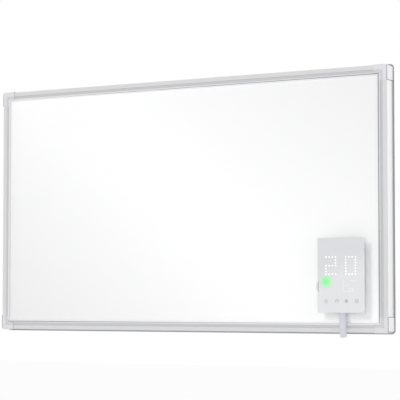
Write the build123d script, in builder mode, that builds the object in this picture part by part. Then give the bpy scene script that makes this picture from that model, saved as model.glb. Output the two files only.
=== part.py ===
from build123d import *

import os
from math import pi, radians, tan

# Infrared panel heater with a control unit, in millimetres.
# X runs to the right as seen from the room, Y from the room into the wall, Z up.
# The wall's face is Y = 0 and the origin is the middle of the four wall screws,
# so everything that hangs in front of the wall lies at negative Y.

os.makedirs("parts", exist_ok=True)

# ---------------------------------------------------------------- driving dimensions

# whole panel
PANEL_WIDTH = 905.0
PANEL_HEIGHT = 505.0
RIM_STANDS_OUT = 3.0
WALL_GAP = 20.0
SLACK = 0.3
HOLE_SLACK = 0.25

# frame section, measured inwards from the rail's outer face and back from its land
RAIL_DEPTH = 23.0
LAND_WIDTH = 8.6
CHANNEL_WIDTH = 6.0
CHANNEL_DEPTH = 0.9
CHANNEL_SLOPE = 0.5
BEAD_WIDTH = 2.4
BEAD_RISE = 0.2
BEAD_CROWN = 0.4
TUBE_WIDTH = 9.0
TUBE_WALL = 1.4
EDGE_ROUND = 1.2

# moulded corner pieces
CORNER_LEG = 29.0
CORNER_PROUD = 0.8
CORNER_ROUND = 5.5
KEY_LENGTH = 22.0
KEY_SLACK = 0.15

# what lies between the frame and the tray, front to back
SHEET_RECESS = 2.6
SHEET_THICK = 2.0
STACK_SLACK = 0.5
GASKET_THICK = 0.4
GASKET_SHOWS = 1.9
GASKET_RISE = 2.2
GASKET_ROUND = 0.7
FILM_THICK = 0.4
FILM_MARGIN = 14.0
BUS_THICK = 0.3
BUS_WIDTH = 10.0
BUS_INSET = 6.0

# back tray of galvanised sheet
TRAY_THICK = 1.0
SWAGE_FROM_BOLTS = 60.0
SWAGE_WIDTH = 22.0
SWAGE_HEIGHT = 3.0
SWAGE_PITCH = 62.0
SWAGE_COUNT = 6
SWAGE_TAPER = 35.0

# screws
TRAY_SCREW_RADIUS = 1.9
TRAY_SCREW_LENGTH = 9.0
TRAY_SCREW_HEAD_RADIUS = 3.8
TRAY_SCREW_HEAD = 2.0
TRAY_HEAD_TAPER = 20.0
LONG_SIDE_SCREWS = 5
SHORT_SIDE_SCREWS = 3
SCREW_FROM_KEY = 12.0
SMALL_SCREW_RADIUS = 1.45
SMALL_HEAD_RADIUS = 2.8
LID_SCREW_LENGTH = 8.0
BASE_SCREW_HEAD = 1.6
BASE_SCREW_TIP = 3.0
COVER_SCREW_HEAD = 1.2
COVER_SCREW_TIP_GAP = 1.0

# wall brackets and the hangers that hook over them
BOLTS_FROM_SIDE = 172.5
BOLTS_FROM_EDGE = 102.5
WALL_HOLE_RADIUS = 2.75
BRACKET_THICK = 2.0
BRACKET_WIDTH = 36.0
BRACKET_ABOVE_HOLE = 14.0
BRACKET_BELOW_HOLE = 26.0
BRACKET_REACH = 13.0
TONGUE_TOP = -6.0
BRACKET_BEND = 2.5
HANGER_THICK = 1.5
HANGER_WIDTH = 30.0
HANGER_ABOVE_HOLE = 22.0
HANGER_LIP = 14.0
HANGER_BEND = 1.2
HOOK_PLAY = 0.5
RIVET_RADIUS = 2.0
RIVET_HEAD_RADIUS = 3.6
RIVET_HEAD = 1.2
RIVET_HEAD_TAPER = 30.0
RIVET_TAIL = 1.5
RIVET_PITCH = 16.0
POCKET_ROOM = 1.0
POCKET_DEPTH = 4.0

# junction box behind the tray
BOX_WIDTH = 90.0
BOX_HEIGHT = 70.0
BOX_ABOVE_RIM = 47.5
BOX_DEPTH = 15.5
BOX_WALL = 2.0
BOX_ROUND = 3.0
BOX_INNER_ROUND = 2.0
BOX_BOSS_RADIUS = 3.5
BOX_BOSS_INSET = 7.5
SLOT_LENGTH = 40.0
SLOT_WIDTH = 14.0
SLOT_RISE = 37.0
GROMMET_LIP = 2.0
GROMMET_WALL = 3.0
GROMMET_FLANGE = 1.0
CUTOUT_RISE = 58.0
CUTOUT_RADIUS = 8.0
CUTOUT_ROOM = 1.5
CUTOUT_CAP = 3.0
CUTOUT_NECK_RADIUS = 6.0
CUTOUT_NECK = 9.0
BLADE_WIDTH = 6.3
BLADE_THICK = 0.8
BLADE_PITCH = 7.0
BLADE_SHOWS = 1.0
WIRE_RADIUS = 1.3
WIRE_PITCH = 22.0
WIRE_BEND = 4.0
TERMINAL_WIDTH = 34.0
TERMINAL_HEIGHT = 12.0
TERMINAL_DEPTH = 10.0
TERMINAL_RISE = 18.0
TERMINAL_WELL_RADIUS = 2.4
TERMINAL_WELL_DEPTH = 3.3
GLAND_FROM_WALL = 12.0
LEAD_GLAND_SHIFT = -14.0
MAINS_GLAND_SHIFT = 29.0
GLAND_RADIUS = 6.0
GLAND_CAP_RADIUS = 5.1
GLAND_CAP_TAPER = 6.0
GLAND_LENGTH = 12.0
GLAND_NECK_RADIUS = 4.7
GLAND_NUT = 3.0
MAINS_BORE_RADIUS = 3.5

# control unit
UNIT_FROM_RIGHT = 92.2
UNIT_FROM_BOTTOM = 109.9
UNIT_WIDTH = 97.0
UNIT_HEIGHT = 140.0
UNIT_FACE_THICK = 3.6
UNIT_FACE_CORNER = 1.8
UNIT_FACE_ROUND = 0.8
UNIT_INSET_X = 8.5
UNIT_INSET_Z = 5.0
UNIT_WALL = 2.0
UNIT_CAVITY = 12.4
UNIT_CORNER = 4.0
COVER_THICK = 2.0
VENT_COUNT = 7
VENT_PITCH = 8.0
VENT_WIDTH = 2.0
VENT_LENGTH = 7.0
VENT_FROM_MIDDLE = 18.2
RIB_THICK = 1.2
RIB_HEIGHT = 2.0
RIB_LENGTH = 24.0
RIB_PITCH = 48.0
BOARD_WIDTH = 72.0
BOARD_HEIGHT = 120.0
BOARD_THICK = 1.6
BOARD_FROM_COVER = 3.4
BOARD_NOTCH_ROOM = 1.0
BOSS_RADIUS = 3.2
BOSS_PITCH_X = 62.0
BOSS_PITCH_Z = 112.0
DISPLAY_WIDTH = 68.0
DISPLAY_HEIGHT = 42.0
DISPLAY_RISE = 18.0
DISPLAY_ROUND = 1.0
TOUCH_RADIUS = 4.0
TOUCH_WIRE = 0.8
TOUCH_TURNS = 3
TOUCH_Z = 47.9
TOUCH_X = (-31.2, -8.3, 11.1, 32.6)
LED_X = -32.3
LED_Z = 10.5
LED_RADIUS = 1.5
LED_FIT = 0.05
LED_SHOULDER = 2.0
RELAY_SIZE = (18.0, 24.0)
RELAY_SPOT = (24.0, -27.4)
RELAY_ROUND = 1.0
SENSOR_RADIUS = 2.0
SENSOR_ROUND = 1.8
SENSOR_SHIFT = -24.0
CONNECTOR_WIDTH = 15.0
CONNECTOR_HEIGHT = 6.0
CONNECTOR_FROM_EDGE = 3.6

# push key on the control unit's left edge
KEY_BELOW_MIDDLE = 21.0
KEY_HEIGHT = 19.3
KEY_STANDS_OUT = 3.5
KEY_DEPTH = 12.0
KEY_TRAVEL = 1.5
KEY_NECK_HEIGHT = 16.0
KEY_NECK_DEPTH = 7.0
KEY_SET_BACK = 0.7
KEY_FLANGE = 1.5
KEY_FLANGE_LIP = 1.0
KEY_FLANGE_CHEEK = 0.2
KEY_GUIDE_WALL = 1.2
KEY_END_GAP = 0.1
PLUNGER_RADIUS = 1.5
PLUNGER_LENGTH = 2.5
SPRING_RADIUS = 2.6
SPRING_WIRE = 0.6
SPRING_TURNS = 3
SWITCH_SIZE = (6.0, 7.0)
SWITCH_TO_FACE = 1.0
SWITCH_NUB = 0.6

# stand-off plate that carries the control unit on the sheet
PAD_THICK = 1.6
PAD_RADIUS = 7.0
PAD_PITCH_X = 46.0
PAD_PITCH_Z = 96.0
PLATE_THICK = 2.2
PLATE_WIDTH = 66.0
PLATE_HEIGHT = 116.0
HOOK_WIDTH = 10.0
HOOK_THICK = 1.4
HOOK_RISE = 3.0
HOOK_PITCH_X = 50.0
HOOK_PITCH_Z = 90.0

# strain relief and link lead
LEAD_RADIUS = 2.5
BOOT_WIDTH = 16.5
BOOT_DEPTH = 11.8
BOOT_TIP_WIDTH = 11.0
BOOT_TIP_DEPTH = 9.5
BOOT_TIP_ROUND = 1.0
BOOT_BELOW_RIM = 6.3
BOOT_GROOVES = 3
GROOVE_PITCH = 5.6
GROOVE_WIDTH = 1.5
GROOVE_DEPTH = 0.7
FIRST_GROOVE = 9.5
NECK_RADIUS = 5.0
BOOT_FLANGE = (14.0, 10.5)
BOOT_FLANGE_ROUND = 3.0
BOOT_FLANGE_THICK = 2.0
OUTLET_RADIUS = 3.2
OUTLET_REACH = 2.6
OUTLET_SHIFT = -2.4
RIM_CLEARANCE = 0.5
LEAD_CLEARANCE = 0.15
CORE_RADIUS = 0.8
CORE_PITCH = 4.0

# ---------------------------------------------------------------- derived places

FRAME_WIDTH = PANEL_WIDTH - 2 * RIM_STANDS_OUT
FRAME_HEIGHT = PANEL_HEIGHT - 2 * RIM_STANDS_OUT
TRAY_BACK_Y = -WALL_GAP
TRAY_FRONT_Y = TRAY_BACK_Y - TRAY_THICK
FRAME_FRONT_Y = TRAY_FRONT_Y - RAIL_DEPTH
SHEET_FRONT_Y = FRAME_FRONT_Y + SHEET_RECESS
SHEET_BACK_Y = SHEET_FRONT_Y + SHEET_THICK
FILM_BACK_Y = SHEET_BACK_Y + FILM_THICK
BUS_BACK_Y = FILM_BACK_Y + BUS_THICK
BOARD_STACK = TRAY_FRONT_Y - BUS_BACK_Y
FLANGE_BACK = SHEET_RECESS - GASKET_THICK
CHANNEL_END = LAND_WIDTH + CHANNEL_WIDTH
LIP_EDGE = CHANNEL_END + BEAD_WIDTH
STACK_WIDTH = FRAME_WIDTH - 2 * (TUBE_WIDTH + STACK_SLACK)
STACK_HEIGHT = FRAME_HEIGHT - 2 * (TUBE_WIDTH + STACK_SLACK)
FILM_WIDTH = STACK_WIDTH - 2 * FILM_MARGIN
FILM_HEIGHT = STACK_HEIGHT - 2 * FILM_MARGIN
BOLT_SPACING_X = PANEL_WIDTH - 2 * BOLTS_FROM_SIDE
BOLT_SPACING_Z = PANEL_HEIGHT - 2 * BOLTS_FROM_EDGE
SWAGE_LENGTH = BOLT_SPACING_X - 2 * SWAGE_FROM_BOLTS

RIM_Z = -PANEL_HEIGHT / 2
UNIT_X = PANEL_WIDTH / 2 - UNIT_FROM_RIGHT
UNIT_Z = RIM_Z + UNIT_FROM_BOTTOM
KEY_Z = UNIT_Z - KEY_BELOW_MIDDLE
PLATE_BACK_Y = SHEET_FRONT_Y - PAD_THICK
COVER_BACK_Y = PLATE_BACK_Y - PLATE_THICK
CAVITY_BACK_Y = COVER_BACK_Y - COVER_THICK
FACE_BACK_Y = CAVITY_BACK_Y - UNIT_CAVITY
FACE_FRONT_Y = FACE_BACK_Y - UNIT_FACE_THICK
BOARD_BACK_Y = CAVITY_BACK_Y - BOARD_FROM_COVER
BOARD_FRONT_Y = BOARD_BACK_Y - BOARD_THICK
BOARD_TO_FACE = BOARD_FRONT_Y - FACE_BACK_Y
UNIT_LEFT = UNIT_X - UNIT_WIDTH / 2
HOUSING_WIDTH = UNIT_WIDTH - 2 * UNIT_INSET_X
HOUSING_HEIGHT = UNIT_HEIGHT - 2 * UNIT_INSET_Z
HOUSING_LEFT = UNIT_X - HOUSING_WIDTH / 2
HOUSING_BOTTOM = UNIT_Z - HOUSING_HEIGHT / 2
UNIT_MIDDLE_Y = (FACE_BACK_Y + CAVITY_BACK_Y) / 2

BOX_X = UNIT_X
BOX_BOTTOM = RIM_Z + BOX_ABOVE_RIM
BOX_TOP = BOX_BOTTOM + BOX_HEIGHT
BOX_Z = (BOX_TOP + BOX_BOTTOM) / 2
SLOT_Z = BOX_BOTTOM + SLOT_RISE
CUTOUT_Z = BOX_BOTTOM + CUTOUT_RISE
TERMINAL_Z = BOX_BOTTOM + TERMINAL_RISE
LEAD_GLAND_X = BOX_X + LEAD_GLAND_SHIFT
MAINS_GLAND_X = BOX_X + MAINS_GLAND_SHIFT
GLAND_Y = -GLAND_FROM_WALL
BOX_FLOOR_Y = TRAY_BACK_Y + BOX_WALL
BOX_LID_Y = TRAY_BACK_Y + BOX_DEPTH - BOX_WALL
BOX_BACK_Y = TRAY_BACK_Y + BOX_DEPTH


# ---------------------------------------------------------------- helpers


def facing(y: float, x: float = 0.0, z: float = 0.0) -> Plane:
    """Plane parallel to the wall: local X and Y are X and Z, extruding goes to the room."""
    return Plane(origin=(x, y, z), x_dir=(1, 0, 0), z_dir=(0, -1, 0))


def backing(y: float, x: float = 0.0, z: float = 0.0) -> Plane:
    """Plane parallel to the wall whose extrusions go towards the wall, local Y down."""
    return Plane(origin=(x, y, z), x_dir=(1, 0, 0), z_dir=(0, 1, 0))


def upright(x: float, z: float = 0.0) -> Plane:
    """Plane across X: local X and Y are Y and Z, extruding goes to the right."""
    return Plane(origin=(x, 0, z), x_dir=(0, 1, 0), z_dir=(1, 0, 0))


def level(z: float, x: float = 0.0, y: float = 0.0) -> Plane:
    """Horizontal plane at a height, extruding goes down."""
    return Plane(origin=(x, y, z), x_dir=(1, 0, 0), z_dir=(0, 0, -1))


def rail_plane(outward: Vector, reach: float) -> Plane:
    """Plane across a rail: local X runs inwards from its outer face, local Y back from its land."""
    inward = -outward
    return Plane(
        origin=outward * reach + Vector(0, FRAME_FRONT_Y, 0),
        x_dir=inward,
        z_dir=inward.cross(Vector(0, 1, 0)),
    )


def frame_section(proud: float) -> Sketch:
    """Outline of the frame, standing proud of the rails by an amount."""
    floor = CHANNEL_DEPTH - proud
    bead = -BEAD_RISE - proud
    bead_middle = (CHANNEL_END + BEAD_WIDTH / 2, bead - BEAD_CROWN)
    with BuildSketch() as outline:
        with BuildLine():
            Polyline(
                (-proud, RAIL_DEPTH),
                (-proud, -proud),
                (LAND_WIDTH, -proud),
                (LAND_WIDTH + CHANNEL_SLOPE, floor),
                (CHANNEL_END - CHANNEL_SLOPE, floor),
                (CHANNEL_END, bead),
            )
            ThreePointArc((CHANNEL_END, bead), bead_middle, (LIP_EDGE, bead))
            Polyline(
                (LIP_EDGE, bead),
                (LIP_EDGE, FLANGE_BACK),
                (TUBE_WIDTH, FLANGE_BACK),
                (TUBE_WIDTH, RAIL_DEPTH),
                (-proud, RAIL_DEPTH),
            )
        make_face()
    return outline.sketch


def draw_chamber(gap: float) -> None:
    """Draw the rail's hollow, or the key that fills it with a gap all round."""
    width = TUBE_WIDTH - 2 * TUBE_WALL
    depth = RAIL_DEPTH - FLANGE_BACK - TUBE_WALL
    with Locations((TUBE_WIDTH / 2, FLANGE_BACK + depth / 2)):
        Rectangle(width - 2 * gap, depth - 2 * gap, mode=Mode.SUBTRACT if gap == 0 else Mode.ADD)


def make_coil(radius: float, wire: float, length: float, turns: int) -> Part:
    """Compression spring along +Z from the origin, of an outer radius and a wire thickness."""
    with BuildPart() as coil:
        with BuildLine(Plane.XY.offset(wire / 2)) as winding:
            Helix(pitch=(length - wire) / turns, height=length - wire, radius=radius - wire / 2)
        with BuildSketch(Plane(origin=winding.line @ 0, z_dir=winding.line % 0)):
            Circle(wire / 2)
        sweep(path=winding.line, is_frenet=True)
    return coil.part


def save(piece: BuildPart, name: str) -> None:
    """Label a finished piece and write it as a STEP file."""
    piece.part.label = name
    export_step(piece.part, f"parts/{name}.step")


# ---------------------------------------------------------------- frame

KEY_REACH = CORNER_LEG + KEY_LENGTH + SCREW_FROM_KEY
LONG_SCREW_PITCH = (FRAME_WIDTH - 2 * KEY_REACH) / (LONG_SIDE_SCREWS - 1)
SHORT_SCREW_PITCH = (FRAME_HEIGHT - 2 * KEY_REACH) / (SHORT_SIDE_SCREWS - 1)
SCREW_LINE = TUBE_WIDTH / 2
RAIL_SECTION = frame_section(0)
CORNER_SECTION = frame_section(CORNER_PROUD)


def make_rail(name: str, outward: Vector, reach: float, length: float, pitch: float, count: int):
    """One extruded rail with its chamber, its visible profile and the tray's screw holes."""
    with BuildPart() as rail:
        with BuildSketch(rail_plane(outward, reach)) as section:
            add(RAIL_SECTION)
            fillet(section.vertices().sort_by(lambda corner: corner.X + corner.Y)[0], EDGE_ROUND)
            draw_chamber(0)
        extrude(amount=length / 2, both=True)
        along_x = abs(outward.Z) > abs(outward.X)
        spot = outward * (reach - SCREW_LINE)
        with BuildSketch(facing(TRAY_FRONT_Y, spot.X, spot.Z)):
            with GridLocations(pitch, pitch, count if along_x else 1, 1 if along_x else count):
                Circle(TRAY_SCREW_RADIUS + HOLE_SLACK / 2)
        extrude(amount=TUBE_WALL, mode=Mode.SUBTRACT)
    save(rail, name)


HALF_WIDTH = FRAME_WIDTH / 2
HALF_HEIGHT = FRAME_HEIGHT / 2
LONG_RAIL = FRAME_WIDTH - 2 * CORNER_LEG
SHORT_RAIL = FRAME_HEIGHT - 2 * CORNER_LEG
UP = Vector(0, 0, 1)
RIGHT = Vector(1, 0, 0)
make_rail("rail_top", UP, HALF_HEIGHT, LONG_RAIL, LONG_SCREW_PITCH, LONG_SIDE_SCREWS)
make_rail("rail_bottom", -UP, HALF_HEIGHT, LONG_RAIL, LONG_SCREW_PITCH, LONG_SIDE_SCREWS)
make_rail("rail_right", RIGHT, HALF_WIDTH, SHORT_RAIL, SHORT_SCREW_PITCH, SHORT_SIDE_SCREWS)
make_rail("rail_left", -RIGHT, HALF_WIDTH, SHORT_RAIL, SHORT_SCREW_PITCH, SHORT_SIDE_SCREWS)

# The corner piece is one mitred leg with its key, mirrored about the mitre.
with BuildPart() as corner_top_right:
    leg_end = rail_plane(UP, HALF_HEIGHT).offset(HALF_WIDTH - CORNER_LEG)
    with BuildSketch(leg_end):
        add(CORNER_SECTION)
    extrude(amount=CORNER_LEG + CORNER_PROUD)
    with BuildSketch(leg_end):
        draw_chamber(KEY_SLACK)
    extrude(amount=-KEY_LENGTH)
    mitre = Plane(origin=(HALF_WIDTH, 0, HALF_HEIGHT), z_dir=(-1, 0, 1))
    split(bisect_by=mitre, keep=Keep.TOP)
    mirror(about=mitre)
    outer_edge = corner_top_right.edges().filter_by(Axis.Y).sort_by(
        lambda edge: edge.center().X + edge.center().Z
    )[-1]
    fillet(outer_edge, CORNER_ROUND)
    land = corner_top_right.faces().filter_by(Axis.Y).sort_by(Axis.Y)[0]
    land_rim = land.edges().filter_by(
        lambda edge: edge.geom_type == GeomType.CIRCLE
        or edge.center().X > HALF_WIDTH
        or edge.center().Z > HALF_HEIGHT
    )
    fillet(land_rim, EDGE_ROUND)
save(corner_top_right, "corner_top_right")

with BuildPart() as corner_top_left:
    mirror(corner_top_right.part, about=Plane.YZ)
save(corner_top_left, "corner_top_left")

with BuildPart() as corner_bottom_right:
    mirror(corner_top_right.part, about=Plane.XY)
save(corner_bottom_right, "corner_bottom_right")

with BuildPart() as corner_bottom_left:
    mirror(corner_top_left.part, about=Plane.XY)
save(corner_bottom_left, "corner_bottom_left")

# ---------------------------------------------------------------- stack in the frame

with BuildPart() as front_sheet:
    with BuildSketch(facing(SHEET_BACK_Y)):
        Rectangle(STACK_WIDTH, STACK_HEIGHT)
    extrude(amount=SHEET_THICK)
save(front_sheet, "front_sheet")

# The gasket is a flat strip under the frame's lip with a bulb that shows beside it.
GASKET_EDGE = LIP_EDGE + GASKET_SHOWS
with BuildPart() as sheet_gasket:
    with BuildSketch(facing(SHEET_FRONT_Y)):
        Rectangle(STACK_WIDTH, STACK_HEIGHT)
        Rectangle(
            FRAME_WIDTH - 2 * GASKET_EDGE, FRAME_HEIGHT - 2 * GASKET_EDGE, mode=Mode.SUBTRACT
        )
    extrude(amount=GASKET_THICK)
    with BuildSketch(facing(SHEET_FRONT_Y)):
        Rectangle(FRAME_WIDTH - 2 * LIP_EDGE, FRAME_HEIGHT - 2 * LIP_EDGE)
        Rectangle(
            FRAME_WIDTH - 2 * GASKET_EDGE, FRAME_HEIGHT - 2 * GASKET_EDGE, mode=Mode.SUBTRACT
        )
    extrude(amount=GASKET_RISE)
    fillet(sheet_gasket.faces().sort_by(Axis.Y)[0].edges(), GASKET_ROUND)
save(sheet_gasket, "sheet_gasket")

with BuildPart() as heating_film:
    with BuildSketch(facing(FILM_BACK_Y)):
        Rectangle(FILM_WIDTH, FILM_HEIGHT)
    extrude(amount=FILM_THICK)
save(heating_film, "heating_film")

# Two copper strips along the film's long edges, each led to its feed wire.
BUS_LINE_X = FILM_WIDTH / 2 - BUS_INSET - BUS_WIDTH / 2
BUS_LINE_Z = FILM_HEIGHT / 2 - BUS_INSET - BUS_WIDTH / 2
FEED_LEFT_X = BOX_X - WIRE_PITCH / 2
FEED_RIGHT_X = BOX_X + WIRE_PITCH / 2
BUS_TAIL_GAP = BUS_WIDTH + BUS_INSET
with BuildPart() as bus_bars:
    with BuildSketch(facing(BUS_BACK_Y)):
        with BuildLine():
            Polyline((-BUS_LINE_X, -BUS_LINE_Z), (BUS_LINE_X - BUS_TAIL_GAP, -BUS_LINE_Z))
        trace(line_width=BUS_WIDTH)
        with BuildLine():
            Polyline((FEED_LEFT_X, -BUS_LINE_Z), (FEED_LEFT_X, SLOT_Z + BUS_WIDTH / 2))
        trace(line_width=BUS_WIDTH)
        with BuildLine():
            Polyline(
                (-BUS_LINE_X, BUS_LINE_Z),
                (BUS_LINE_X, BUS_LINE_Z),
                (BUS_LINE_X, SLOT_Z),
                (FEED_RIGHT_X - BUS_WIDTH / 2, SLOT_Z),
            )
        trace(line_width=BUS_WIDTH)
    extrude(amount=BUS_THICK)
save(bus_bars, "bus_bars")

# The board has a window behind the wires, one for the cut-out and pockets for rivets and screws.
WINDOW_LENGTH = SLOT_LENGTH + 2 * GROMMET_LIP + 2 * SLACK
WINDOW_WIDTH = SLOT_WIDTH + 2 * GROMMET_LIP + 2 * SLACK
CUTOUT_HOLE = CUTOUT_RADIUS + CUTOUT_ROOM
RIVET_MIDDLE = (HANGER_ABOVE_HOLE + TONGUE_TOP + HANGER_THICK) / 2
BASE_SCREW_SPOTS = (
    (BOX_X - BOX_WIDTH / 2 + BOX_BOSS_INSET, BOX_TOP - BOX_BOSS_INSET),
    (BOX_X + BOX_WIDTH / 2 - BOX_BOSS_INSET, BOX_BOTTOM + BOX_BOSS_INSET),
)
LID_SCREW_SPOTS = (
    (BOX_X + BOX_WIDTH / 2 - BOX_BOSS_INSET, BOX_TOP - BOX_BOSS_INSET),
    (BOX_X - BOX_WIDTH / 2 + BOX_BOSS_INSET, BOX_BOTTOM + BOX_BOSS_INSET),
)


def rivet_spots() -> list[tuple[float, float]]:
    """Centres of the eight rivets, two in each hanger."""
    hangers = [(x, z) for x in (-1, 1) for z in (-1, 1)]
    return [
        (x * BOLT_SPACING_X / 2 + side * RIVET_PITCH / 2, z * BOLT_SPACING_Z / 2 + RIVET_MIDDLE)
        for x, z in hangers
        for side in (-1, 1)
    ]


with BuildPart() as insulation_board:
    with BuildSketch(facing(TRAY_FRONT_Y)):
        Rectangle(STACK_WIDTH, STACK_HEIGHT)
        with Locations((BOX_X, SLOT_Z)):
            SlotOverall(WINDOW_LENGTH, WINDOW_WIDTH, mode=Mode.SUBTRACT)
        with Locations((BOX_X, CUTOUT_Z)):
            Circle(CUTOUT_HOLE, mode=Mode.SUBTRACT)
    extrude(amount=BOARD_STACK)
    with BuildSketch(facing(TRAY_FRONT_Y)):
        with Locations(*rivet_spots(), *BASE_SCREW_SPOTS):
            Circle(RIVET_RADIUS + POCKET_ROOM)
    extrude(amount=POCKET_DEPTH, mode=Mode.SUBTRACT)
save(insulation_board, "insulation_board")

# ---------------------------------------------------------------- tray


def tray_screw_grids() -> list[GridLocations]:
    """Rows of tray screws along the four rails."""
    line_x = HALF_WIDTH - SCREW_LINE
    line_z = HALF_HEIGHT - SCREW_LINE
    return [
        GridLocations(LONG_SCREW_PITCH, 2 * line_z, LONG_SIDE_SCREWS, 2),
        GridLocations(2 * line_x, SHORT_SCREW_PITCH, 2, SHORT_SIDE_SCREWS),
    ]


with BuildPart() as back_tray:
    with BuildSketch(facing(TRAY_BACK_Y)):
        RectangleRounded(PANEL_WIDTH, PANEL_HEIGHT, CORNER_ROUND + RIM_STANDS_OUT)
        with Locations((BOX_X, SLOT_Z)):
            SlotOverall(SLOT_LENGTH, SLOT_WIDTH, mode=Mode.SUBTRACT)
        with Locations((BOX_X, CUTOUT_Z)):
            Circle(CUTOUT_HOLE, mode=Mode.SUBTRACT)
        for grid in tray_screw_grids():
            with grid:
                Circle(TRAY_SCREW_RADIUS + HOLE_SLACK, mode=Mode.SUBTRACT)
        with Locations(*rivet_spots()):
            Circle(RIVET_RADIUS, mode=Mode.SUBTRACT)
        with Locations(*BASE_SCREW_SPOTS):
            Circle(SMALL_SCREW_RADIUS, mode=Mode.SUBTRACT)
    extrude(amount=TRAY_THICK)
    with BuildSketch(backing(TRAY_BACK_Y)):
        with GridLocations(SWAGE_LENGTH, SWAGE_PITCH, 1, SWAGE_COUNT):
            SlotOverall(SWAGE_LENGTH, SWAGE_WIDTH)
    extrude(amount=SWAGE_HEIGHT, taper=SWAGE_TAPER)
    with BuildSketch(backing(TRAY_FRONT_Y)):
        with GridLocations(SWAGE_LENGTH, SWAGE_PITCH, 1, SWAGE_COUNT):
            SlotOverall(SWAGE_LENGTH - TRAY_THICK, SWAGE_WIDTH - TRAY_THICK)
    extrude(amount=SWAGE_HEIGHT, taper=SWAGE_TAPER, mode=Mode.SUBTRACT)
save(back_tray, "back_tray")

with BuildPart() as tray_screws:
    for grid in tray_screw_grids():
        with BuildSketch(facing(TRAY_BACK_Y)):
            with grid:
                Circle(TRAY_SCREW_RADIUS)
        extrude(amount=TRAY_SCREW_LENGTH)
        with BuildSketch(backing(TRAY_BACK_Y)):
            with grid:
                Circle(TRAY_SCREW_HEAD_RADIUS)
        extrude(amount=TRAY_SCREW_HEAD, taper=TRAY_HEAD_TAPER)
save(tray_screws, "tray_screws")

# ---------------------------------------------------------------- hanging parts


def make_bracket(name: str, x: float, z: float) -> None:
    """Wall bracket of bent strip: plate on the wall, shelf and upturned tongue."""
    middle = BRACKET_THICK / 2
    with BuildPart() as bracket:
        with BuildSketch(upright(x, z)):
            with BuildLine():
                FilletPolyline(
                    (-middle, BRACKET_ABOVE_HOLE),
                    (-middle, middle - BRACKET_BELOW_HOLE),
                    (middle - BRACKET_REACH, middle - BRACKET_BELOW_HOLE),
                    (middle - BRACKET_REACH, TONGUE_TOP),
                    radius=BRACKET_BEND,
                )
            trace(line_width=BRACKET_THICK)
        extrude(amount=BRACKET_WIDTH / 2, both=True)
        with BuildSketch(facing(0, x, z)):
            Circle(WALL_HOLE_RADIUS)
        extrude(amount=BRACKET_THICK, mode=Mode.SUBTRACT)
    save(bracket, name)


def make_hanger(name: str, x: float, z: float) -> None:
    """Hanger of bent strip: pad on the tray, shelf on the tongue and lip behind it."""
    middle = HANGER_THICK / 2
    pad_y = TRAY_BACK_Y + middle
    lip_y = BRACKET_THICK - BRACKET_REACH + HOOK_PLAY + middle
    shelf_z = TONGUE_TOP + middle
    with BuildPart() as hanger:
        with BuildSketch(upright(x, z)):
            with BuildLine():
                FilletPolyline(
                    (pad_y, HANGER_ABOVE_HOLE),
                    (pad_y, shelf_z),
                    (lip_y, shelf_z),
                    (lip_y, TONGUE_TOP - HANGER_LIP),
                    radius=HANGER_BEND,
                )
            trace(line_width=HANGER_THICK)
        extrude(amount=HANGER_WIDTH / 2, both=True)
        with BuildSketch(facing(TRAY_BACK_Y + HANGER_THICK, x, z + RIVET_MIDDLE)):
            with GridLocations(RIVET_PITCH, 1, 2, 1):
                Circle(RIVET_RADIUS)
        extrude(amount=HANGER_THICK, mode=Mode.SUBTRACT)
    save(hanger, name)


for across, side_x in (("left", -1), ("right", 1)):
    for height, side_z in (("bottom", -1), ("top", 1)):
        bolt_x = side_x * BOLT_SPACING_X / 2
        bolt_z = side_z * BOLT_SPACING_Z / 2
        make_bracket(f"wall_bracket_{height}_{across}", bolt_x, bolt_z)
        make_hanger(f"hanger_{height}_{across}", bolt_x, bolt_z)

with BuildPart() as hanger_rivets:
    rivet_grip = HANGER_THICK + TRAY_THICK + RIVET_TAIL
    with BuildSketch(facing(TRAY_BACK_Y + HANGER_THICK)):
        with Locations(*rivet_spots()):
            Circle(RIVET_RADIUS)
    extrude(amount=rivet_grip)
    with BuildSketch(backing(TRAY_BACK_Y + HANGER_THICK)):
        with Locations(*[(x, -z) for x, z in rivet_spots()]):
            Circle(RIVET_HEAD_RADIUS)
    extrude(amount=RIVET_HEAD, taper=RIVET_HEAD_TAPER)
save(hanger_rivets, "hanger_rivets")

# ---------------------------------------------------------------- junction box

GLAND_HOLE = GLAND_NECK_RADIUS + LEAD_CLEARANCE

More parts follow.
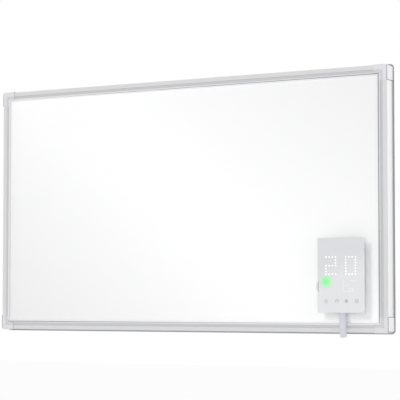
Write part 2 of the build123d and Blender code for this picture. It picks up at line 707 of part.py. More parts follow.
with BuildPart() as junction_box:
    with BuildSketch(backing(TRAY_BACK_Y, BOX_X, BOX_Z)):
        RectangleRounded(BOX_WIDTH, BOX_HEIGHT, BOX_ROUND)
    extrude(amount=BOX_DEPTH - BOX_WALL)
    with BuildSketch(backing(BOX_FLOOR_Y, BOX_X, BOX_Z)):
        RectangleRounded(
            BOX_WIDTH - 2 * BOX_WALL, BOX_HEIGHT - 2 * BOX_WALL, BOX_INNER_ROUND
        )
    extrude(amount=BOX_DEPTH, mode=Mode.SUBTRACT)
    with BuildSketch(backing(BOX_FLOOR_Y)):
        with Locations(*[(x, -z) for x, z in LID_SCREW_SPOTS]):
            Circle(BOX_BOSS_RADIUS)
    extrude(amount=BOX_LID_Y - BOX_FLOOR_Y)
    with BuildSketch(facing(BOX_LID_Y)):
        with Locations(*LID_SCREW_SPOTS):
            Circle(SMALL_SCREW_RADIUS)
    extrude(amount=BOX_LID_Y - BOX_FLOOR_Y, mode=Mode.SUBTRACT)
    with BuildSketch(facing(BOX_FLOOR_Y)):
        with Locations((BOX_X, SLOT_Z)):
            SlotOverall(WINDOW_LENGTH, WINDOW_WIDTH)
        with Locations((BOX_X, CUTOUT_Z)):
            Circle(CUTOUT_HOLE)
        with Locations(*BASE_SCREW_SPOTS):
            Circle(SMALL_SCREW_RADIUS)
    extrude(amount=BOX_WALL, mode=Mode.SUBTRACT)
    with BuildSketch(level(BOX_BOTTOM + BOX_WALL)):
        with Locations((LEAD_GLAND_X, -GLAND_Y), (MAINS_GLAND_X, -GLAND_Y)):
            Circle(GLAND_HOLE)
    extrude(amount=BOX_WALL, mode=Mode.SUBTRACT)
save(junction_box, "junction_box")

with BuildPart() as junction_lid:
    with BuildSketch(backing(BOX_LID_Y, BOX_X, BOX_Z)):
        RectangleRounded(BOX_WIDTH, BOX_HEIGHT, BOX_ROUND)
    extrude(amount=BOX_WALL)
    fillet(junction_lid.edges().group_by(Axis.Y)[-1], BOX_WALL / 3)
    with BuildSketch(facing(BOX_BACK_Y)):
        with Locations(*LID_SCREW_SPOTS):
            Circle(SMALL_SCREW_RADIUS + HOLE_SLACK)
    extrude(amount=BOX_WALL, mode=Mode.SUBTRACT)
    with BuildSketch(facing(BOX_BACK_Y)):
        with Locations(*LID_SCREW_SPOTS):
            Circle(SMALL_HEAD_RADIUS + HOLE_SLACK)
    extrude(amount=BOX_WALL / 2, mode=Mode.SUBTRACT)
save(junction_lid, "junction_lid")

with BuildPart() as junction_screws:
    with BuildSketch(facing(BOX_BACK_Y)):
        with Locations(*LID_SCREW_SPOTS):
            Circle(SMALL_HEAD_RADIUS)
    extrude(amount=BOX_WALL / 2)
    with BuildSketch(facing(BOX_BACK_Y)):
        with Locations(*LID_SCREW_SPOTS):
            Circle(SMALL_SCREW_RADIUS)
    extrude(amount=LID_SCREW_LENGTH)
    with BuildSketch(facing(BOX_FLOOR_Y + BASE_SCREW_HEAD)):
        with Locations(*BASE_SCREW_SPOTS):
            Circle(SMALL_HEAD_RADIUS)
    extrude(amount=BASE_SCREW_HEAD)
    with BuildSketch(facing(BOX_FLOOR_Y)):
        with Locations(*BASE_SCREW_SPOTS):
            Circle(SMALL_SCREW_RADIUS)
    extrude(amount=BOX_WALL + TRAY_THICK + BASE_SCREW_TIP)
save(junction_screws, "junction_screws")

with BuildPart() as wire_grommet:
    for flange_y in (TRAY_FRONT_Y, TRAY_BACK_Y + GROMMET_FLANGE):
        with BuildSketch(facing(flange_y, BOX_X, SLOT_Z)):
            SlotOverall(SLOT_LENGTH + 2 * GROMMET_LIP, SLOT_WIDTH + 2 * GROMMET_LIP)
        extrude(amount=GROMMET_FLANGE)
    with BuildSketch(facing(TRAY_BACK_Y, BOX_X, SLOT_Z)):
        SlotOverall(SLOT_LENGTH, SLOT_WIDTH)
    extrude(amount=TRAY_THICK)
    with BuildSketch(facing(TRAY_BACK_Y + GROMMET_FLANGE, BOX_X, SLOT_Z)):
        SlotOverall(SLOT_LENGTH - 2 * GROMMET_WALL, SLOT_WIDTH - 2 * GROMMET_WALL)
    extrude(amount=TRAY_THICK + 2 * GROMMET_FLANGE, mode=Mode.SUBTRACT)
save(wire_grommet, "wire_grommet")

with BuildPart() as overheat_cutout:
    with BuildSketch(backing(FILM_BACK_Y, BOX_X, CUTOUT_Z)):
        Circle(CUTOUT_RADIUS)
    extrude(amount=CUTOUT_CAP)
    with BuildSketch(backing(FILM_BACK_Y + CUTOUT_CAP, BOX_X, CUTOUT_Z)):
        Circle(CUTOUT_NECK_RADIUS)
    extrude(amount=CUTOUT_NECK)
    with BuildSketch(backing(FILM_BACK_Y + CUTOUT_CAP + CUTOUT_NECK, BOX_X, CUTOUT_Z)):
        with GridLocations(BLADE_PITCH, 1, 2, 1):
            Rectangle(BLADE_THICK, BLADE_WIDTH)
    extrude(amount=BOX_FLOOR_Y + BLADE_SHOWS - (FILM_BACK_Y + CUTOUT_CAP + CUTOUT_NECK))
save(overheat_cutout, "overheat_cutout")

# The feed wires rise from the copper strips, pass the grommet and turn down to the terminals.
FEED_Y = (BOX_FLOOR_Y + BOX_LID_Y) / 2
TERMINAL_TOP = TERMINAL_Z + TERMINAL_HEIGHT / 2
TERMINAL_BOTTOM = TERMINAL_Z - TERMINAL_HEIGHT / 2


with BuildPart() as feed_wires:
    for feed_x in (FEED_LEFT_X, FEED_RIGHT_X):
        with BuildLine() as feed_run:
            FilletPolyline(
                (feed_x, BUS_BACK_Y, SLOT_Z),
                (feed_x, FEED_Y, SLOT_Z),
                (feed_x, FEED_Y, TERMINAL_TOP),
                radius=WIRE_BEND,
            )
        with BuildSketch(Plane(origin=feed_run.line @ 0, z_dir=feed_run.line % 0)):
            Circle(WIRE_RADIUS)
        sweep(path=feed_run.line)
save(feed_wires, "feed_wires")

with BuildPart() as terminal_block:
    with BuildSketch(backing(BOX_FLOOR_Y, BOX_X, TERMINAL_Z)):
        Rectangle(TERMINAL_WIDTH, TERMINAL_HEIGHT)
    extrude(amount=TERMINAL_DEPTH)
    with BuildSketch(facing(BOX_FLOOR_Y + TERMINAL_DEPTH, BOX_X, TERMINAL_Z)):
        with GridLocations(WIRE_PITCH / 2, 1, 3, 1):
            Circle(TERMINAL_WELL_RADIUS)
    extrude(amount=TERMINAL_WELL_DEPTH, mode=Mode.SUBTRACT)
save(terminal_block, "terminal_block")


def make_gland(name: str, x: float, bore: float) -> None:
    """Cable gland: hexagonal collar below the box, neck through its wall and nut inside."""
    with BuildPart() as gland:
        with BuildSketch(level(BOX_BOTTOM, x, GLAND_Y)):
            RegularPolygon(GLAND_RADIUS, 6)
        extrude(amount=GLAND_LENGTH / 2)
        with BuildSketch(level(BOX_BOTTOM - GLAND_LENGTH / 2, x, GLAND_Y)):
            Circle(GLAND_CAP_RADIUS)
        extrude(amount=GLAND_LENGTH / 2, taper=GLAND_CAP_TAPER)
        with BuildSketch(level(BOX_BOTTOM + BOX_WALL, x, GLAND_Y)):
            Circle(GLAND_NECK_RADIUS)
        extrude(amount=BOX_WALL)
        with BuildSketch(level(BOX_BOTTOM + BOX_WALL + GLAND_NUT, x, GLAND_Y)):
            RegularPolygon(GLAND_RADIUS, 6)
        extrude(amount=GLAND_NUT)
        with BuildSketch(level(BOX_BOTTOM + BOX_WALL + GLAND_NUT, x, GLAND_Y)):
            Circle(bore)
        extrude(amount=GLAND_NUT + BOX_WALL + GLAND_LENGTH, mode=Mode.SUBTRACT)
    save(gland, name)


make_gland("lead_gland", LEAD_GLAND_X, LEAD_RADIUS + LEAD_CLEARANCE)
make_gland("mains_gland", MAINS_GLAND_X, MAINS_BORE_RADIUS)

# ---------------------------------------------------------------- control unit

KEY_Y = (BOARD_FRONT_Y + FACE_BACK_Y) / 2 + KEY_SET_BACK
KEY_NOTCH_DEPTH = KEY_TRAVEL + 2 * SLACK + KEY_END_GAP
KEY_CHORD = UNIT_LEFT + KEY_NOTCH_DEPTH - KEY_TRAVEL - SLACK
KEY_TIP = UNIT_LEFT - KEY_STANDS_OUT
KEY_CAP_FRONT_Y = FACE_FRONT_Y + UNIT_FACE_ROUND
WALL_INSIDE = HOUSING_LEFT + UNIT_WALL
FLANGE_FAR = WALL_INSIDE + SLACK + KEY_FLANGE
SWITCH_X = FLANGE_FAR + PLUNGER_LENGTH + KEY_TRAVEL + KEY_END_GAP + SWITCH_NUB
GUIDE_LEFT = UNIT_LEFT + KEY_NOTCH_DEPTH
GUIDE_BACK_Y = KEY_Y + KEY_NECK_DEPTH / 2 + SLACK + KEY_GUIDE_WALL
GUIDE_HEIGHT = KEY_NECK_HEIGHT + 2 * SLACK + 2 * KEY_GUIDE_WALL

with BuildPart() as unit_face:
    with BuildSketch(facing(FACE_BACK_Y, UNIT_X, UNIT_Z)):
        RectangleRounded(UNIT_WIDTH, UNIT_HEIGHT, UNIT_FACE_CORNER)
    extrude(amount=UNIT_FACE_THICK)
    fillet(unit_face.edges().group_by(Axis.Y)[0], UNIT_FACE_ROUND)
    with BuildSketch(facing(FACE_BACK_Y, UNIT_LEFT, KEY_Z)):
        Rectangle(2 * KEY_NOTCH_DEPTH, KEY_HEIGHT + 2 * SLACK)
    extrude(amount=UNIT_FACE_THICK, mode=Mode.SUBTRACT)
    with BuildSketch(facing(FACE_BACK_Y, UNIT_X, UNIT_Z)):
        with Locations((LED_X, -LED_Z)):
            Circle(LED_RADIUS + LED_FIT)
    extrude(amount=UNIT_FACE_THICK, mode=Mode.SUBTRACT)
    with BuildSketch(backing(FACE_BACK_Y, UNIT_X, UNIT_Z)):
        with GridLocations(BOSS_PITCH_X, BOSS_PITCH_Z, 2, 2):
            Circle(BOSS_RADIUS)
            Circle(SMALL_SCREW_RADIUS, mode=Mode.SUBTRACT)
    extrude(amount=BOARD_TO_FACE)
    rib_pitch = HOUSING_HEIGHT - 2 * UNIT_WALL - 2 * SLACK - RIB_THICK
    with BuildSketch(backing(FACE_BACK_Y, UNIT_X, UNIT_Z)):
        with GridLocations(RIB_PITCH, rib_pitch, 2, 2):
            Rectangle(RIB_LENGTH, RIB_THICK)
    extrude(amount=RIB_HEIGHT)
save(unit_face, "unit_face")

with BuildPart() as unit_housing:
    with BuildSketch(facing(CAVITY_BACK_Y, UNIT_X, UNIT_Z)):
        RectangleRounded(HOUSING_WIDTH, HOUSING_HEIGHT, UNIT_CORNER)
        RectangleRounded(
            HOUSING_WIDTH - 2 * UNIT_WALL,
            HOUSING_HEIGHT - 2 * UNIT_WALL,
            UNIT_CORNER - UNIT_WALL,
            mode=Mode.SUBTRACT,
        )
    extrude(amount=UNIT_CAVITY)
    with BuildSketch(upright(GUIDE_LEFT, KEY_Z)):
        with Locations(((GUIDE_BACK_Y + FACE_BACK_Y) / 2, 0)):
            Rectangle(GUIDE_BACK_Y - FACE_BACK_Y, GUIDE_HEIGHT)
    extrude(amount=HOUSING_LEFT - GUIDE_LEFT)
    with BuildSketch(upright(GUIDE_LEFT, KEY_Z)):
        with Locations((KEY_Y, 0)):
            Rectangle(KEY_NECK_DEPTH + 2 * SLACK, KEY_NECK_HEIGHT + 2 * SLACK)
    extrude(amount=WALL_INSIDE - GUIDE_LEFT, mode=Mode.SUBTRACT)
    with BuildSketch(level(HOUSING_BOTTOM + UNIT_WALL, UNIT_X, UNIT_MIDDLE_Y)):
        Circle(NECK_RADIUS + LEAD_CLEARANCE)
    extrude(amount=UNIT_WALL, mode=Mode.SUBTRACT)
    with BuildSketch(level(UNIT_Z + HOUSING_HEIGHT / 2, UNIT_X, UNIT_MIDDLE_Y)):
        with GridLocations(VENT_PITCH, 1, VENT_COUNT, 1):
            SlotOverall(VENT_LENGTH, VENT_WIDTH, rotation=90)
    extrude(amount=UNIT_WALL, mode=Mode.SUBTRACT)
    with BuildSketch(level(HOUSING_BOTTOM + UNIT_WALL, UNIT_X, UNIT_MIDDLE_Y)):
        for side in (-1, 1):
            with Locations((side * VENT_FROM_MIDDLE, 0)):
                with GridLocations(VENT_PITCH, 1, VENT_COUNT // 2, 1):
                    SlotOverall(VENT_LENGTH, VENT_WIDTH, rotation=90)
    extrude(amount=UNIT_WALL, mode=Mode.SUBTRACT)
save(unit_housing, "unit_housing")

HOOK_SLOT_HEIGHT = HOOK_THICK + HOOK_RISE + 2 * SLACK
with BuildPart() as unit_back_cover:
    with BuildSketch(facing(COVER_BACK_Y, UNIT_X, UNIT_Z)):
        RectangleRounded(HOUSING_WIDTH, HOUSING_HEIGHT, UNIT_CORNER)
        with GridLocations(BOSS_PITCH_X, BOSS_PITCH_Z, 2, 2):
            Circle(SMALL_SCREW_RADIUS + HOLE_SLACK, mode=Mode.SUBTRACT)
        with Locations((0, HOOK_SLOT_HEIGHT / 2 - HOOK_THICK / 2 - SLACK)):
            with GridLocations(HOOK_PITCH_X, HOOK_PITCH_Z, 2, 2):
                Rectangle(HOOK_WIDTH + 2 * SLACK, HOOK_SLOT_HEIGHT, mode=Mode.SUBTRACT)
    extrude(amount=COVER_THICK)
    with BuildSketch(facing(COVER_BACK_Y, UNIT_X, UNIT_Z)):
        with GridLocations(BOSS_PITCH_X, BOSS_PITCH_Z, 2, 2):
            Circle(SMALL_HEAD_RADIUS + HOLE_SLACK)
    extrude(amount=COVER_SCREW_HEAD, mode=Mode.SUBTRACT)
    with BuildSketch(facing(CAVITY_BACK_Y, UNIT_X, UNIT_Z)):
        with GridLocations(BOSS_PITCH_X, BOSS_PITCH_Z, 2, 2):
            Circle(BOSS_RADIUS)
            Circle(SMALL_SCREW_RADIUS + HOLE_SLACK, mode=Mode.SUBTRACT)
    extrude(amount=BOARD_FROM_COVER)
save(unit_back_cover, "unit_back_cover")

with BuildPart() as unit_screws:
    with BuildSketch(facing(COVER_BACK_Y, UNIT_X, UNIT_Z)):
        with GridLocations(BOSS_PITCH_X, BOSS_PITCH_Z, 2, 2):
            Circle(SMALL_HEAD_RADIUS)
    extrude(amount=COVER_SCREW_HEAD)
    with BuildSketch(facing(COVER_BACK_Y, UNIT_X, UNIT_Z)):
        with GridLocations(BOSS_PITCH_X, BOSS_PITCH_Z, 2, 2):
            Circle(SMALL_SCREW_RADIUS)
    extrude(amount=COVER_BACK_Y - FACE_BACK_Y - COVER_SCREW_TIP_GAP)
save(unit_screws, "unit_screws")

BOARD_LEFT = UNIT_X - BOARD_WIDTH / 2
BOARD_NOTCH_X = FLANGE_FAR + KEY_TRAVEL + SLACK
FLANGE_HEIGHT = KEY_NECK_HEIGHT + 2 * SLACK + 2 * KEY_FLANGE_LIP
with BuildPart() as circuit_board:
    with BuildSketch(facing(BOARD_BACK_Y, UNIT_X, UNIT_Z)):
        Rectangle(BOARD_WIDTH, BOARD_HEIGHT)
        with GridLocations(BOSS_PITCH_X, BOSS_PITCH_Z, 2, 2):
            Circle(SMALL_SCREW_RADIUS + HOLE_SLACK, mode=Mode.SUBTRACT)
        with Locations((BOARD_LEFT - UNIT_X, KEY_Z - UNIT_Z)):
            Rectangle(
                2 * (BOARD_NOTCH_X - BOARD_LEFT),
                FLANGE_HEIGHT + 2 * BOARD_NOTCH_ROOM,
                mode=Mode.SUBTRACT,
            )
    extrude(amount=BOARD_THICK)
save(circuit_board, "circuit_board")

with BuildPart() as display_module:
    with BuildSketch(facing(BOARD_FRONT_Y, UNIT_X, UNIT_Z + DISPLAY_RISE)):
        Rectangle(DISPLAY_WIDTH, DISPLAY_HEIGHT)
    extrude(amount=BOARD_TO_FACE)
    fillet(display_module.edges().filter_by(Axis.Y), DISPLAY_ROUND)
save(display_module, "display_module")

with BuildPart() as relay:
    with BuildSketch(facing(BOARD_FRONT_Y, UNIT_X, UNIT_Z)):
        with Locations(RELAY_SPOT):
            RectangleRounded(*RELAY_SIZE, RELAY_ROUND)
    extrude(amount=BOARD_TO_FACE - SLACK)
save(relay, "relay")

touch_coil = make_coil(TOUCH_RADIUS, TOUCH_WIRE, BOARD_TO_FACE, TOUCH_TURNS)
with BuildPart() as touch_springs:
    for touch_x in TOUCH_X:
        with Locations(facing(BOARD_FRONT_Y, UNIT_X + touch_x, UNIT_Z - TOUCH_Z)):
            add(touch_coil)
save(touch_springs, "touch_springs")

with BuildPart() as status_light_guide:
    with BuildSketch(facing(BOARD_FRONT_Y, UNIT_X + LED_X, UNIT_Z - LED_Z)):
        Circle(LED_SHOULDER)
    extrude(amount=BOARD_TO_FACE)
    with BuildSketch(facing(FACE_BACK_Y, UNIT_X + LED_X, UNIT_Z - LED_Z)):
        Circle(LED_RADIUS)
    extrude(amount=UNIT_FACE_THICK)
save(status_light_guide, "status_light_guide")

CONNECTOR_Z = UNIT_Z - BOARD_HEIGHT / 2 + CONNECTOR_FROM_EDGE
with BuildPart() as lead_connector:
    with BuildSketch(facing(BOARD_FRONT_Y, UNIT_X, CONNECTOR_Z)):
        Rectangle(CONNECTOR_WIDTH, CONNECTOR_HEIGHT)
    extrude(amount=BOARD_TO_FACE - SLACK)
save(lead_connector, "lead_connector")

with BuildPart() as room_sensor:
    with BuildSketch(facing(BOARD_FRONT_Y, UNIT_X + SENSOR_SHIFT, CONNECTOR_Z)):
        Circle(SENSOR_RADIUS)
    extrude(amount=2 * SENSOR_RADIUS)
    fillet(room_sensor.edges().group_by(Axis.Y)[0], SENSOR_ROUND)
save(room_sensor, "room_sensor")

# ---------------------------------------------------------------- push key

with BuildPart() as power_key:
    with BuildSketch(facing(KEY_CAP_FRONT_Y + KEY_DEPTH, 0, KEY_Z)):
        with BuildLine():
            Line((KEY_CHORD, KEY_HEIGHT / 2), (KEY_CHORD, -KEY_HEIGHT / 2))
            ThreePointArc(
                (KEY_CHORD, -KEY_HEIGHT / 2), (KEY_TIP, 0), (KEY_CHORD, KEY_HEIGHT / 2)
            )
        make_face()
    extrude(amount=KEY_DEPTH)
    fillet(power_key.edges().filter_by(GeomType.CIRCLE), UNIT_FACE_ROUND)
    with BuildSketch(upright(KEY_CHORD, KEY_Z)):
        with Locations((KEY_Y, 0)):
            Rectangle(KEY_NECK_DEPTH, KEY_NECK_HEIGHT)
    extrude(amount=FLANGE_FAR - KEY_CHORD)
    with BuildSketch(upright(WALL_INSIDE + SLACK, KEY_Z)):
        with Locations((KEY_Y, 0)):
            Rectangle(KEY_NECK_DEPTH + 2 * KEY_FLANGE_CHEEK, FLANGE_HEIGHT)
    extrude(amount=KEY_FLANGE)
    with BuildSketch(upright(FLANGE_FAR, KEY_Z)):
        with Locations((KEY_Y, 0)):
            Circle(PLUNGER_RADIUS)
    extrude(amount=PLUNGER_LENGTH)
save(power_key, "power_key")

with BuildPart() as key_spring:
    with Locations(Plane(origin=(FLANGE_FAR, KEY_Y, KEY_Z), z_dir=(1, 0, 0))):
        add(make_coil(SPRING_RADIUS, SPRING_WIRE, SWITCH_X - FLANGE_FAR, SPRING_TURNS))
save(key_spring, "key_spring")

with BuildPart() as key_switch:
    with BuildSketch(facing(BOARD_FRONT_Y, SWITCH_X + SWITCH_SIZE[0] / 2, KEY_Z)):
        Rectangle(*SWITCH_SIZE)
    extrude(amount=BOARD_TO_FACE - SWITCH_TO_FACE)
    with BuildSketch(upright(SWITCH_X, KEY_Z)):
        with Locations((KEY_Y, 0)):
            Circle(PLUNGER_RADIUS)
    extrude(amount=-SWITCH_NUB)
save(key_switch, "key_switch")

# ---------------------------------------------------------------- stand-off plate

with BuildPart() as mount_pads:
    with BuildSketch(facing(SHEET_FRONT_Y, UNIT_X, UNIT_Z)):
        with GridLocations(PAD_PITCH_X, PAD_PITCH_Z, 2, 2):
            Circle(PAD_RADIUS)
    extrude(amount=PAD_THICK)
save(mount_pads, "mount_pads")

with BuildPart() as mount_plate:
    with BuildSketch(facing(PLATE_BACK_Y, UNIT_X, UNIT_Z)):
        RectangleRounded(PLATE_WIDTH, PLATE_HEIGHT, UNIT_CORNER)
    extrude(amount=PLATE_THICK)
    with BuildSketch(facing(COVER_BACK_Y, UNIT_X, UNIT_Z)):
        with GridLocations(HOOK_PITCH_X, HOOK_PITCH_Z, 2, 2):
            Rectangle(HOOK_WIDTH, HOOK_THICK)
    extrude(amount=COVER_THICK + SLACK + HOOK_THICK)
    with BuildSketch(facing(CAVITY_BACK_Y - SLACK, UNIT_X, UNIT_Z + HOOK_RISE / 2)):
        with GridLocations(HOOK_PITCH_X, HOOK_PITCH_Z, 2, 2):
            Rectangle(HOOK_WIDTH, HOOK_THICK + HOOK_RISE)
    extrude(amount=HOOK_THICK)
save(mount_plate, "mount_plate")

# ---------------------------------------------------------------- strain relief and lead

BOOT_TIP_Z = RIM_Z - BOOT_BELOW_RIM
BOOT_LENGTH = HOUSING_BOTTOM - BOOT_TIP_Z
OUTLET_X = UNIT_X + OUTLET_SHIFT
OUTLET_Z = RIM_Z - LEAD_RADIUS - RIM_CLEARANCE
OUTLET_Y = UNIT_MIDDLE_Y + BOOT_TIP_DEPTH / 2 + OUTLET_REACH


def boot_size(drop: float) -> tuple[float, float]:
    """Width and depth of the tapered boot at a drop below the housing."""
    share = drop / BOOT_LENGTH
    width = BOOT_WIDTH + (BOOT_TIP_WIDTH - BOOT_WIDTH) * share
    depth = BOOT_DEPTH + (BOOT_TIP_DEPTH - BOOT_DEPTH) * share
    return width, depth


def draw_boot(drop: float, inset: float = 0.0, mode: Mode = Mode.ADD) -> None:
    """Draw the boot's rounded section at a drop below the housing."""
    width, depth = boot_size(drop)
    RectangleRounded(
        width - 2 * inset, depth - 2 * inset, depth / 2 - inset - SLACK, mode=mode
    )


with BuildPart() as strain_relief:
    with BuildSketch(level(HOUSING_BOTTOM, UNIT_X, UNIT_MIDDLE_Y)):
        draw_boot(0)
    with BuildSketch(level(BOOT_TIP_Z, UNIT_X, UNIT_MIDDLE_Y)):
        draw_boot(BOOT_LENGTH)
    loft()
    fillet(strain_relief.edges().group_by(Axis.Z)[0], BOOT_TIP_ROUND)
    for groove in range(BOOT_GROOVES):
        drop = FIRST_GROOVE + groove * GROOVE_PITCH
        with BuildSketch(level(HOUSING_BOTTOM - drop, UNIT_X, UNIT_MIDDLE_Y)):
            Rectangle(2 * BOOT_WIDTH, 2 * BOOT_DEPTH)
            draw_boot(drop, GROOVE_DEPTH, Mode.SUBTRACT)
        extrude(amount=GROOVE_WIDTH, mode=Mode.SUBTRACT)
    with BuildSketch(level(HOUSING_BOTTOM + UNIT_WALL, UNIT_X, UNIT_MIDDLE_Y)):
        Circle(NECK_RADIUS)
    extrude(amount=UNIT_WALL)
    with BuildSketch(
        level(HOUSING_BOTTOM + UNIT_WALL + BOOT_FLANGE_THICK, UNIT_X, UNIT_MIDDLE_Y)
    ):
        RectangleRounded(*BOOT_FLANGE, BOOT_FLANGE_ROUND)
    extrude(amount=BOOT_FLANGE_THICK)
    with BuildSketch(backing(UNIT_MIDDLE_Y, OUTLET_X, OUTLET_Z)):
        Circle(OUTLET_RADIUS)
    extrude(amount=OUTLET_Y - UNIT_MIDDLE_Y)
save(strain_relief, "strain_relief")

FLANGE_TOP_Z = HOUSING_BOTTOM + UNIT_WALL + BOOT_FLANGE_THICK
with BuildPart() as unit_wires:
    with BuildSketch(level(CONNECTOR_Z - CONNECTOR_HEIGHT / 2, UNIT_X, KEY_Y)):
        with GridLocations(CORE_PITCH, 1, 3, 1):
            Circle(CORE_RADIUS)
    extrude(amount=CONNECTOR_Z - CONNECTOR_HEIGHT / 2 - FLANGE_TOP_Z)
save(unit_wires, "unit_wires")

# The lead leaves the boot's tip towards the wall, slants under the rim, climbs behind the
# tray and ends in the terminals. The points between its ends are chosen by hand.
LEAD_ROUTE = [
    Vector(OUTLET_X, OUTLET_Y, OUTLET_Z),
    Vector(OUTLET_X, -39.0, OUTLET_Z),
    Vector(UNIT_X - 8.2, -28.0, OUTLET_Z - 0.1),
    Vector(UNIT_X - 14.1, -18.5, OUTLET_Z),
    Vector(UNIT_X - 17.0, -10.5, OUTLET_Z + 3.2),
    Vector(UNIT_X - 17.8, -6.2, OUTLET_Z + 10.5),
    Vector(UNIT_X - 16.8, -5.8, OUTLET_Z + 19.0),
    Vector(UNIT_X - 15.0, -8.8, OUTLET_Z + 27.0),
    Vector(LEAD_GLAND_X, GLAND_Y, OUTLET_Z + 34.5),
    Vector(LEAD_GLAND_X, GLAND_Y, TERMINAL_BOTTOM),
]
BEND_SHARE = 0.45


def route_radii(points: list[Vector]) -> list[float]:
    """Largest bend radius that each corner's two runs leave room for."""
    radii = []
    for before, here, after in zip(points, points[1:], points[2:]):
        come = here - before
        leave = after - here
        half_turn = radians(come.get_angle(leave)) / 2
        radii.append(BEND_SHARE * min(come.length, leave.length) / tan(half_turn))
    return radii


LEAD_RADII = route_radii(LEAD_ROUTE)
with BuildPart() as link_lead:
    with BuildLine() as lead_line:
        FilletPolyline(*LEAD_ROUTE, radius=LEAD_RADII)
    with BuildSketch(Plane(origin=lead_line.line @ 0, z_dir=lead_line.line % 0)):
        Circle(LEAD_RADIUS)
    sweep(path=lead_line.line)
save(link_lead, "link_lead")

lead_length = sum(edge.length for edge in lead_line.edges())
lead_section = pi * LEAD_RADIUS**2
print("link lead radii", [round(radius, 1) for radius in LEAD_RADII])
print("link lead length", round(lead_length, 1))
lead_share = link_lead.part.volume / (lead_section * lead_length)
print("link lead volume over section times length", round(lead_share, 4))
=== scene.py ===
"""Looks of a framed infrared panel heater with its control unit.

X runs to the right as seen from the room, Y into the wall and Z up, in metres. Names that end in
_mm are millimetres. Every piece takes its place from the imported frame's own boxes.
"""

import logging
import math
from collections.abc import Iterable, Mapping, Sequence
from dataclasses import dataclass, field
from enum import Enum

import bmesh
import bpy
from mathutils import Matrix, Quaternion, Vector


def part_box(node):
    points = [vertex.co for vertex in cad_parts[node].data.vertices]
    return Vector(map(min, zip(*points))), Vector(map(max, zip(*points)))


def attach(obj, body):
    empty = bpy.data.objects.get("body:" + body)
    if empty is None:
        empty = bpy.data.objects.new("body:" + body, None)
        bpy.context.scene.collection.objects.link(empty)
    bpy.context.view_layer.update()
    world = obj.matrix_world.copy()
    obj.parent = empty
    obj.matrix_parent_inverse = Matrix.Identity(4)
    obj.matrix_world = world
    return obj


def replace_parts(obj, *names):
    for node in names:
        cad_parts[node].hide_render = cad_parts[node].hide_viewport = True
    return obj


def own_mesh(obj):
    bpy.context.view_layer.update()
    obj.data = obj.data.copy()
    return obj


Tree = bpy.types.NodeTree
Node = bpy.types.Node
Socket = bpy.types.NodeSocket
Piece = bpy.types.Object
Mesh = bmesh.types.BMesh
Ring = list[bmesh.types.BMVert]
Colour = tuple[float, float, float, float]
Point = tuple[float, float]
Layer = tuple[Node, str]
Box = tuple[Vector, Vector]

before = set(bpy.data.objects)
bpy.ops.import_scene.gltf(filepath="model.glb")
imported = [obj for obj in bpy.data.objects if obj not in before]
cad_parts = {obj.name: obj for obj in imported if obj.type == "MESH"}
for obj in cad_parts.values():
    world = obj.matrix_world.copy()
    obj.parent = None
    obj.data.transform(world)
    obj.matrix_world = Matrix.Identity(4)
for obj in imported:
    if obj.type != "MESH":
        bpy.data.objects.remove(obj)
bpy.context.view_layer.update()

# Half the frame's width and height: at its outer faces, at the rails' inner lips and at their ends.
OUTSIDE = (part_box("rail_right")[1].x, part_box("rail_top")[1].z)
INSIDE = (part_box("rail_right")[0].x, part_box("rail_top")[0].z)
RAIL_ENDS = (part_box("rail_top")[1].x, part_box("rail_right")[1].z)
# Y of the tray's back.
TRAY_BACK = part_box("back_tray")[1].y

LOG = logging.getLogger("heater")
MM = 0.001
HEATER = "heater"
MATH = "ShaderNodeMath"
VECTOR_MATH = "ShaderNodeVectorMath"
MAP_RANGE = "ShaderNodeMapRange"
SPLIT = "ShaderNodeSeparateXYZ"


# ------------------------------------------------------------------------------ node helpers


def add_node(
    tree: Tree, kind: str, inputs: Mapping[str | int, object] | None = None, **settings: object
) -> Node:
    """Add a node, set its properties and feed its inputs.

    Args:
        tree: The node tree that gets the node.
        kind: Blender's name of the node type.
        inputs: Values by input name or index. A node gives its first output in use, a socket is
            linked, and anything else is set.
        settings: Properties of the node itself.

    Returns:
        The new node.
    """
    node = tree.nodes.new(kind)
    for name, value in settings.items():
        setattr(node, name, value)
    for key, value in (inputs or {}).items():
        named = [inlet for inlet in node.inputs if inlet.enabled and inlet.name == key]
        inlet = named[0] if named else node.inputs[key]
        if isinstance(value, Node):
            value = next(outlet for outlet in value.outputs if outlet.enabled)
        if isinstance(value, Socket):
            tree.links.new(value, inlet)
        else:
            inlet.default_value = value
    return node


def linear(code: str) -> Colour:
    """Turn an sRGB hex code such as #f0f0f0 into the linear colour that shaders take.

    Args:
        code: The hex code.

    Returns:
        Red, green, blue and an alpha of 1.
    """
    shares = [int(code[start : start + 2], 16) / 255 for start in (1, 3, 5)]
    red, green, blue = (
        share / 12.92 if share <= 0.04045 else ((share + 0.055) / 1.055) ** 2.4 for share in shares
    )
    return red, green, blue, 1.0


def on_line(tree: Tree, value: Node | Socket, line: float, half: float) -> Node:
    """Mask that is 1 within a half width of a line and 0 beyond it."""
    return add_node(tree, MATH, {0: value, 1: line, 2: half}, operation="COMPARE")


def strongest(tree: Tree, masks: Iterable[tuple[Node | Socket, object]]) -> Node:
    """Find the largest of several masks, each times its strength.

    Args:
        tree: The node tree that gets the nodes.
        masks: Each mask with its strength.

    Returns:
        The node that gives the largest product.
    """
    most: object = 0.0
    for mask, strength in masks:
        product = add_node(tree, MATH, {0: mask, 1: strength}, operation="MULTIPLY")
        most = add_node(tree, MATH, {0: most, 1: product}, operation="MAXIMUM")
    return most


